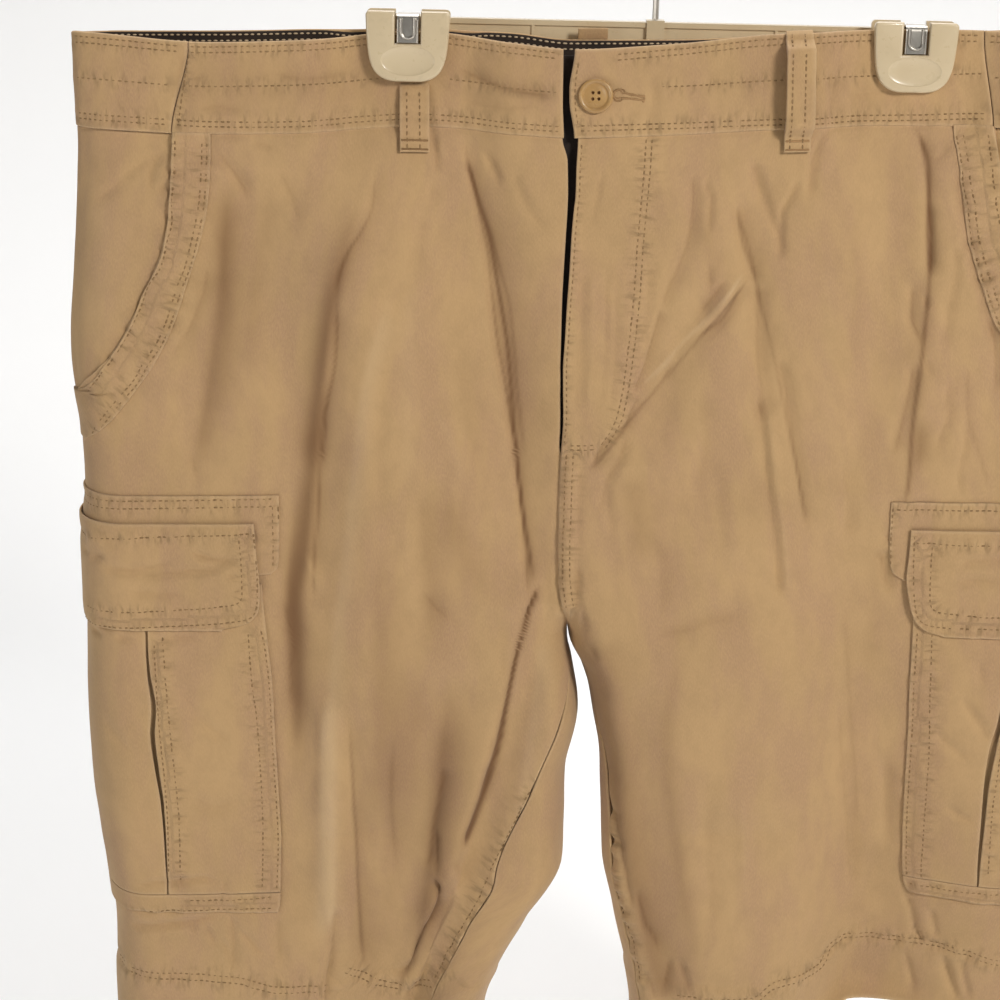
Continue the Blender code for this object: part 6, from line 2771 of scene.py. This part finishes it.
@dataclass(frozen=True)
class Hanger:
    """Two moulded clips with steel springs. The bar and the hook keep the frame's shapes."""

    centres: tuple[float, float] = (CLIP_LEFT, CLIP_RIGHT)
    grips: tuple[float, float] = (6.4, 4.3)
    height: float = -5.7
    tilt: float = math.radians(1.3)
    width: float = 42.0
    tall: float = 34.6
    wall: float = 3.6
    notch: tuple[float, float] = (13.0, 16.0)
    top_corner: float = 2.2
    flank: tuple[tuple[float, float], ...] = (
        (20.6, 7.0), (19.6, -3.6), (17.6, -10.4), (14.6, -14.3), (10.6, -16.5), (6.0, -17.3),
    )  # half widths and heights of a jaw's edge below its top corners
    dish: tuple[float, float, float, float] = (0.2, -6.9, 13.5, 7.4)  # its middle and half widths
    strip: float = 10.6
    strip_wall: float = 0.8

    @property
    def hung(self) -> Matrix:
        """The hanger's lean about its hook."""
        return Matrix.Rotation(self.tilt, 4, "Y")

    def outline(self) -> list[tuple[float, float]]:
        """Edge of a jaw, narrower at its foot, with the spring's notch in its top.

        Returns:
            Points of the edge as (x, z), in mm.
        """
        high, top = self.tall / 2, self.top_corner
        gap, depth = self.notch[0] / 2, self.notch[1]
        corner = quarter(self.width / 2 - top, high - top, top, 0, 5)
        widths, heights = zip(*((self.width / 2, high - top), *self.flank, (0.0, -high)))
        along = np.concatenate([[0], np.cumsum(np.hypot(np.diff(widths), np.diff(heights)))])
        at = np.linspace(0, along[-1], 26)
        x, z = (smooth(at, along, np.array(values)) for values in (widths, heights))
        right = [(gap, high - depth), (gap, high), *corner[::-1], *list(zip(x, z))[1:]]
        return right + [(-x, z) for x, z in right[-2::-1]]

    def jaw(self, name: str, front: bool, place: tuple[float, float, float], node: str) -> None:
        """One jaw, its rim rounded; the front one has a dish for the thumb.

        Args:
            name: name of the jaw.
            front: whether it is the front jaw.
            place: where the jaw stands, in mm.
            node: node that it stands for.
        """
        out = -1.0 if front else 1.0
        line = self.outline()
        points = [(x, out * side * self.wall / 2, z) for side in (1, -1) for x, z in line]
        made = solid(name, np.array(points) * MM, drawn_out(len(line)))
        work = bmesh.new()
        work.from_mesh(made.data)
        rims = {True: [], False: []}
        for edge in work.edges:
            ends = [vertex.co.y * out for vertex in edge.verts]
            if min(ends) > 0 or max(ends) < 0:
                rims[min(ends) > 0].append(edge)
        bmesh.ops.bevel(
            work, geom=rims[True], offset=1.3 * MM, segments=4, profile=0.5, affect="EDGES"
        )
        work.edges.ensure_lookup_table()
        work.to_mesh(made.data)
        work.free()
        tools = []
        if front:
            x, z, across, tall = self.dish
            bpy.ops.mesh.primitive_uv_sphere_add(segments=96, ring_count=48, radius=1)
            tool = bpy.context.object
            centre = (x, -self.wall / 2 - 0.15, z)
            tool.data.transform(Matrix.Diagonal((across * MM, 1.3 * MM, tall * MM, 1)))
            tool.data.transform(Matrix.Translation([value * MM for value in centre]))
            cut_away(made, tool)
            tools.append(tool)
        finished(made, tools, self.hung @ Matrix.Translation(world(place).tolist()))
        keep(made, look(CREAM), "cream_plastic", node)

    def spring(
        self, side: str, place: tuple[float, float, float], near: float, far: float
    ) -> None:
        """A strip bent over the jaws' tops, with a raised wire on its front leg.

        Args:
            side: side of the hanger, as in the names of nodes.
            place: where the clip stands, in mm.
            near: y of the strip's front leg, in mm.
            far: y of its back leg, in mm.
        """
        foot, top, bend = self.tall / 2 - self.notch[1] + 0.5, self.tall / 2 - 1.6, 3.0
        bends = quarter(far - bend, top - bend, bend, 0, 6) + quarter(
            near + bend, top - bend, bend, 90, 6
        )
        inner = quarter(far - bend, top - bend, bend - self.strip_wall, 0, 6)
        inner += quarter(near + bend, top - bend, bend - self.strip_wall, 90, 6)
        line = [(far, foot), *bends, (near, foot), (near + self.strip_wall, foot), *inner[::-1]]
        line.append((far - self.strip_wall, foot))
        half = self.strip / 2
        points = [(out * half, y, z) for out in (-1, 1) for y, z in line]
        faces = drawn_out(len(line))
        turns = np.radians(np.linspace(180, 360, 9))
        low = foot + 5.2
        wire = [(-3.4, low + up) for up in (7.0, 5.0, 3.0, 1.0)]
        wire += [(3.4 * math.cos(turn), low + 3.0 * math.sin(turn)) for turn in turns]
        wire += [(3.4, low + up) for up in (1.0, 3.0, 5.0, 7.0)]
        path = np.array([(x, near - 0.25, z) for x, z in wire])
        wire_points, wire_faces = tube(path, 0.75)
        first = len(points)
        faces += [[first + index for index in face] for face in wire_faces]
        edge_points = []
        for out in (-1, 1):
            rail = np.array(
                [(out * (half - 0.4), near - 0.1, z) for z in np.linspace(foot, top - 2.6, 6)]
            )
            rail_points, rail_faces = tube(rail, 0.5)
            start = first + len(wire_points) + sum(map(len, edge_points))
            faces += [[start + index for index in face] for face in rail_faces]
            edge_points.append(rail_points)
        every = np.concatenate([np.array(points), wire_points, *edge_points])
        made = solid(f"clip_spring_{side}_steel", every * MM, faces)
        finished(made, (), self.hung @ Matrix.Translation(world(place).tolist()))
        keep(made, look(STEEL), "steel", f"clip_spring_{side}")

    def make(self) -> None:
        """Both clips, and the finishes of the bar and the hook."""
        shift = HOOK[2] * math.sin(self.tilt)
        rear = PINCHED + 0.5 + GAP
        for side, centre, grip in zip(("left", "right"), self.centres, self.grips):
            x = centre + shift
            front_y, back_y = -grip - self.wall / 2, rear + self.wall / 2
            self.jaw(
                f"jaw_front_{side}_moulded", True, (x, front_y, self.height), f"jaw_front_{side}"
            )
            self.jaw(
                f"jaw_back_{side}_moulded", False, (x, back_y, self.height), f"jaw_back_{side}"
            )
            near, far = -grip - self.wall + 1.5, rear + self.wall - 0.8
            self.spring(side, (x, 0.0, self.height), near, far)
        for node, finish in (("hanger_bar", CREAM), ("hanger_hook", STEEL)):
            for place in frame["nodes"][node].material_slots:
                place.material = look(finish)


@dataclass(frozen=True)
class Buttonhole:
    """Keyhole buttonhole worked in thread on the right band's end."""

    eye: tuple[float, float, float] = (23.2, -20.6, 2.7)
    end: tuple[float, float] = (36.0, -23.2)
    half: float = 1.0
    pitch: float = 0.62

    def line(self) -> Points:
        """The stitched edge, round the eye and along both sides of the slit.

        Returns:
            Points of the edge, one row each.
        """
        x, z, radius = self.eye
        turns = np.radians(np.linspace(-335, -50, 22))
        ring = [
            (x + radius * math.cos(turn), z + radius * 0.95 * math.sin(turn)) for turn in turns
        ]
        return np.array(
            [
                (self.end[0], self.end[1] + self.half),
                *ring,
                (self.end[0], self.end[1] - self.half),
            ]
        )

    def sew(self, piece: Cloth, sewing: Stitching) -> None:
        """Stitches across the edge, close together.

        Args:
            piece: waistband that the hole is in.
            sewing: stitching that takes the stitches.
        """
        points = through(tuple(map(tuple, self.line())), self.pitch)
        run = np.gradient(points, axis=0)
        run /= np.linalg.norm(run, axis=1)[:, None]
        across = np.stack([-run[:, 1], run[:, 0]], axis=-1)
        wobble = Noise(91)
        reach = 1.25 + 0.55 * wobble.at(np.arange(len(points)) * 0.37, np.full(len(points), 0.5))
        ends = points[:, None] + across[:, None] * reach[:, None, None] * np.array(
            [-1, 1]
        )[None, :, None]
        distances = np.array(
            [piece.form.distance(x, z, Face.FRONT) for x, z in ends.reshape(-1, 2)]
        )
        spots, normals = piece.at(ends[..., 1], distances.reshape(-1, 2), 0.15)
        for line, outward in zip(spots, normals):
            sewing.add("stitches_buttonhole", line, outward, 1.35)


LOOPS = (
    BeltLoop("loop_front_left", Side.LEFT, Face.FRONT, -79.0, 1.6, high=-21.5, low=-55.5),
    BeltLoop("loop_front_right", Side.RIGHT, Face.FRONT, 112.5, high=5.5, width=13.2),
    BeltLoop("loop_back_left", Side.LEFT, Face.BACK, -226.0),
    BeltLoop("loop_back_centre", Side.RIGHT, Face.BACK, 11.0, high=9.5),
    BeltLoop("loop_back_right", Side.RIGHT, Face.BACK, 211.0),
)


@lru_cache(maxsize=None)
def look(finish: Twill | Plain) -> bpy.types.Material:
    """The finish's material, made once."""
    return finish.material()


@dataclass(frozen=True)
class Studio:
    """Camera, floor, backdrop and soft lights."""

    place: tuple[float, float, float] = (-0.081, -1.168, 0.010)
    pitch: float = 17.0
    lens: float = 81.288
    floor: float = -0.80

    def make_camera(self) -> None:
        """The camera at its viewing angle."""
        data = bpy.data.cameras.new("camera")
        data.lens, data.sensor_width = self.lens, 36.0
        data.clip_start, data.clip_end = 0.05, 30.0
        made = linked("camera", data)
        made.location = self.place
        made.rotation_euler = (math.radians(90 - self.pitch), 0, 0)
        bpy.context.scene.camera = made

    def make_floor(self) -> None:
        """A pale floor that curves up into the backdrop."""
        radius, reach, half = 0.8, 1.6, 6.0
        line = [(-5.0, self.floor), (reach - radius, self.floor)]
        for k in range(1, 13):
            angle = math.radians(90 * k / 12)
            along = reach - radius + radius * math.sin(angle)
            line.append((along, self.floor + radius * (1 - math.cos(angle))))
        line.append((reach, 4.0))
        points = [(x, y, z) for y, z in line for x in (-half, half)]
        faces = [(2 * k, 2 * k + 1, 2 * k + 3, 2 * k + 2) for k in range(len(line) - 1)]
        mesh = bpy.data.meshes.new("backdrop")
        mesh.from_pydata(points, [], faces)
        mesh.shade_smooth()
        g = Graph("backdrop")
        mesh.materials.append(g.finish(Base_Color=(0.9, 0.9, 0.9, 1.0), Roughness=0.9))
        linked("backdrop", mesh)

    def make_lights(self) -> None:
        """Large soft lights and a bright surround."""
        world_light = bpy.data.worlds.new("surround")
        world_light.use_nodes = True
        backdrop = world_light.node_tree.nodes["Background"]
        backdrop.inputs[0].default_value = (1.0, 0.99, 0.97, 1.0)
        backdrop.inputs[1].default_value = 0.13
        bpy.context.scene.world = world_light
        lamps = (
            ("key", (1.25, -1.75, 0.8), 0.55, 41.0, (1.0, 0.98, 0.945)),
            ("side", (-1.7, -1.3, -0.1), 1.0, 9.0, (1.0, 0.985, 0.96)),
            ("ground", (0.0, 1.0, 2.0), 2.2, 70.0, (1.0, 1.0, 1.0)),
        )
        for name, place, size, power, colour in lamps:
            data = bpy.data.lights.new(name, "AREA")
            data.shape, data.size = "DISK", size
            data.energy, data.color = power, colour
            made = linked(name, data)
            made.location = place
            aim = Matrix.Translation(place).to_translation() - Matrix.Translation(
                (-0.05, 0.0, -0.4)
            ).to_translation()
            made.rotation_euler = aim.to_track_quat("Z", "Y").to_euler()

    def make(self) -> None:
        """Everything round the shorts."""
        self.make_camera()
        self.make_floor()
        self.make_lights()
        bpy.context.scene.view_settings.view_transform = "Standard"


def keep(made: bpy.types.Object, material: bpy.types.Material, slot: str, *nodes: str) -> None:
    """Give a finished piece its material, attach it to the root and hide its CAD nodes.

    Args:
        made: object of the piece.
        material: material for a piece that has none yet.
        slot: not used.
        *nodes: nodes of the CAD that it stands for.
    """
    if not len(made.data.materials):
        made.data.materials.append(material)
    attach(made, "root")
    if nodes:
        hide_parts(*nodes)
    LOG.info("%s: %d faces", made.name, len(made.data.polygons))


def main() -> None:
    """Make every piece and what stands round it."""
    logging.basicConfig(level=logging.INFO, format="%(message)s")
    studio = Studio()
    studio.make()
    twill = look(KHAKI)
    pieces: dict[str, Cloth] = {}
    for side in Side:
        half = Half(side)
        half.make()
        pieces.update(half.pieces)
    pieces.update({loop.name: loop.cloth() for loop in LOOPS})
    for name, piece in pieces.items():
        made = piece.build()
        made.name = f"{name}_cloth"
        keep(made, twill, "khaki_twill", name)
        width, length, area = piece.flat_area()
        min(area, width * length)
    sewing = Stitching()
    for row in ROWS:
        sewing.along(f"stitches_{row.piece}", pieces[row.piece], row)
    for loop in LOOPS:
        loop.sew(pieces[loop.name], sewing)
    Buttonhole().sew(pieces["waistband_front_right"], sewing)
    Linings().make(sewing)
    WaistButton().make()
    Hanger().make()
    for group in sewing.guides:
        finish = THREAD
        if group == "stitches_facing":
            finish = PALE_THREAD
        elif group.startswith(("tacks", "stitches_buttonhole")):
            finish = TAN_THREAD
        keep(sewing.build(group, look(finish)), look(finish), "khaki_twill")


if __name__ == "__main__":
    main()
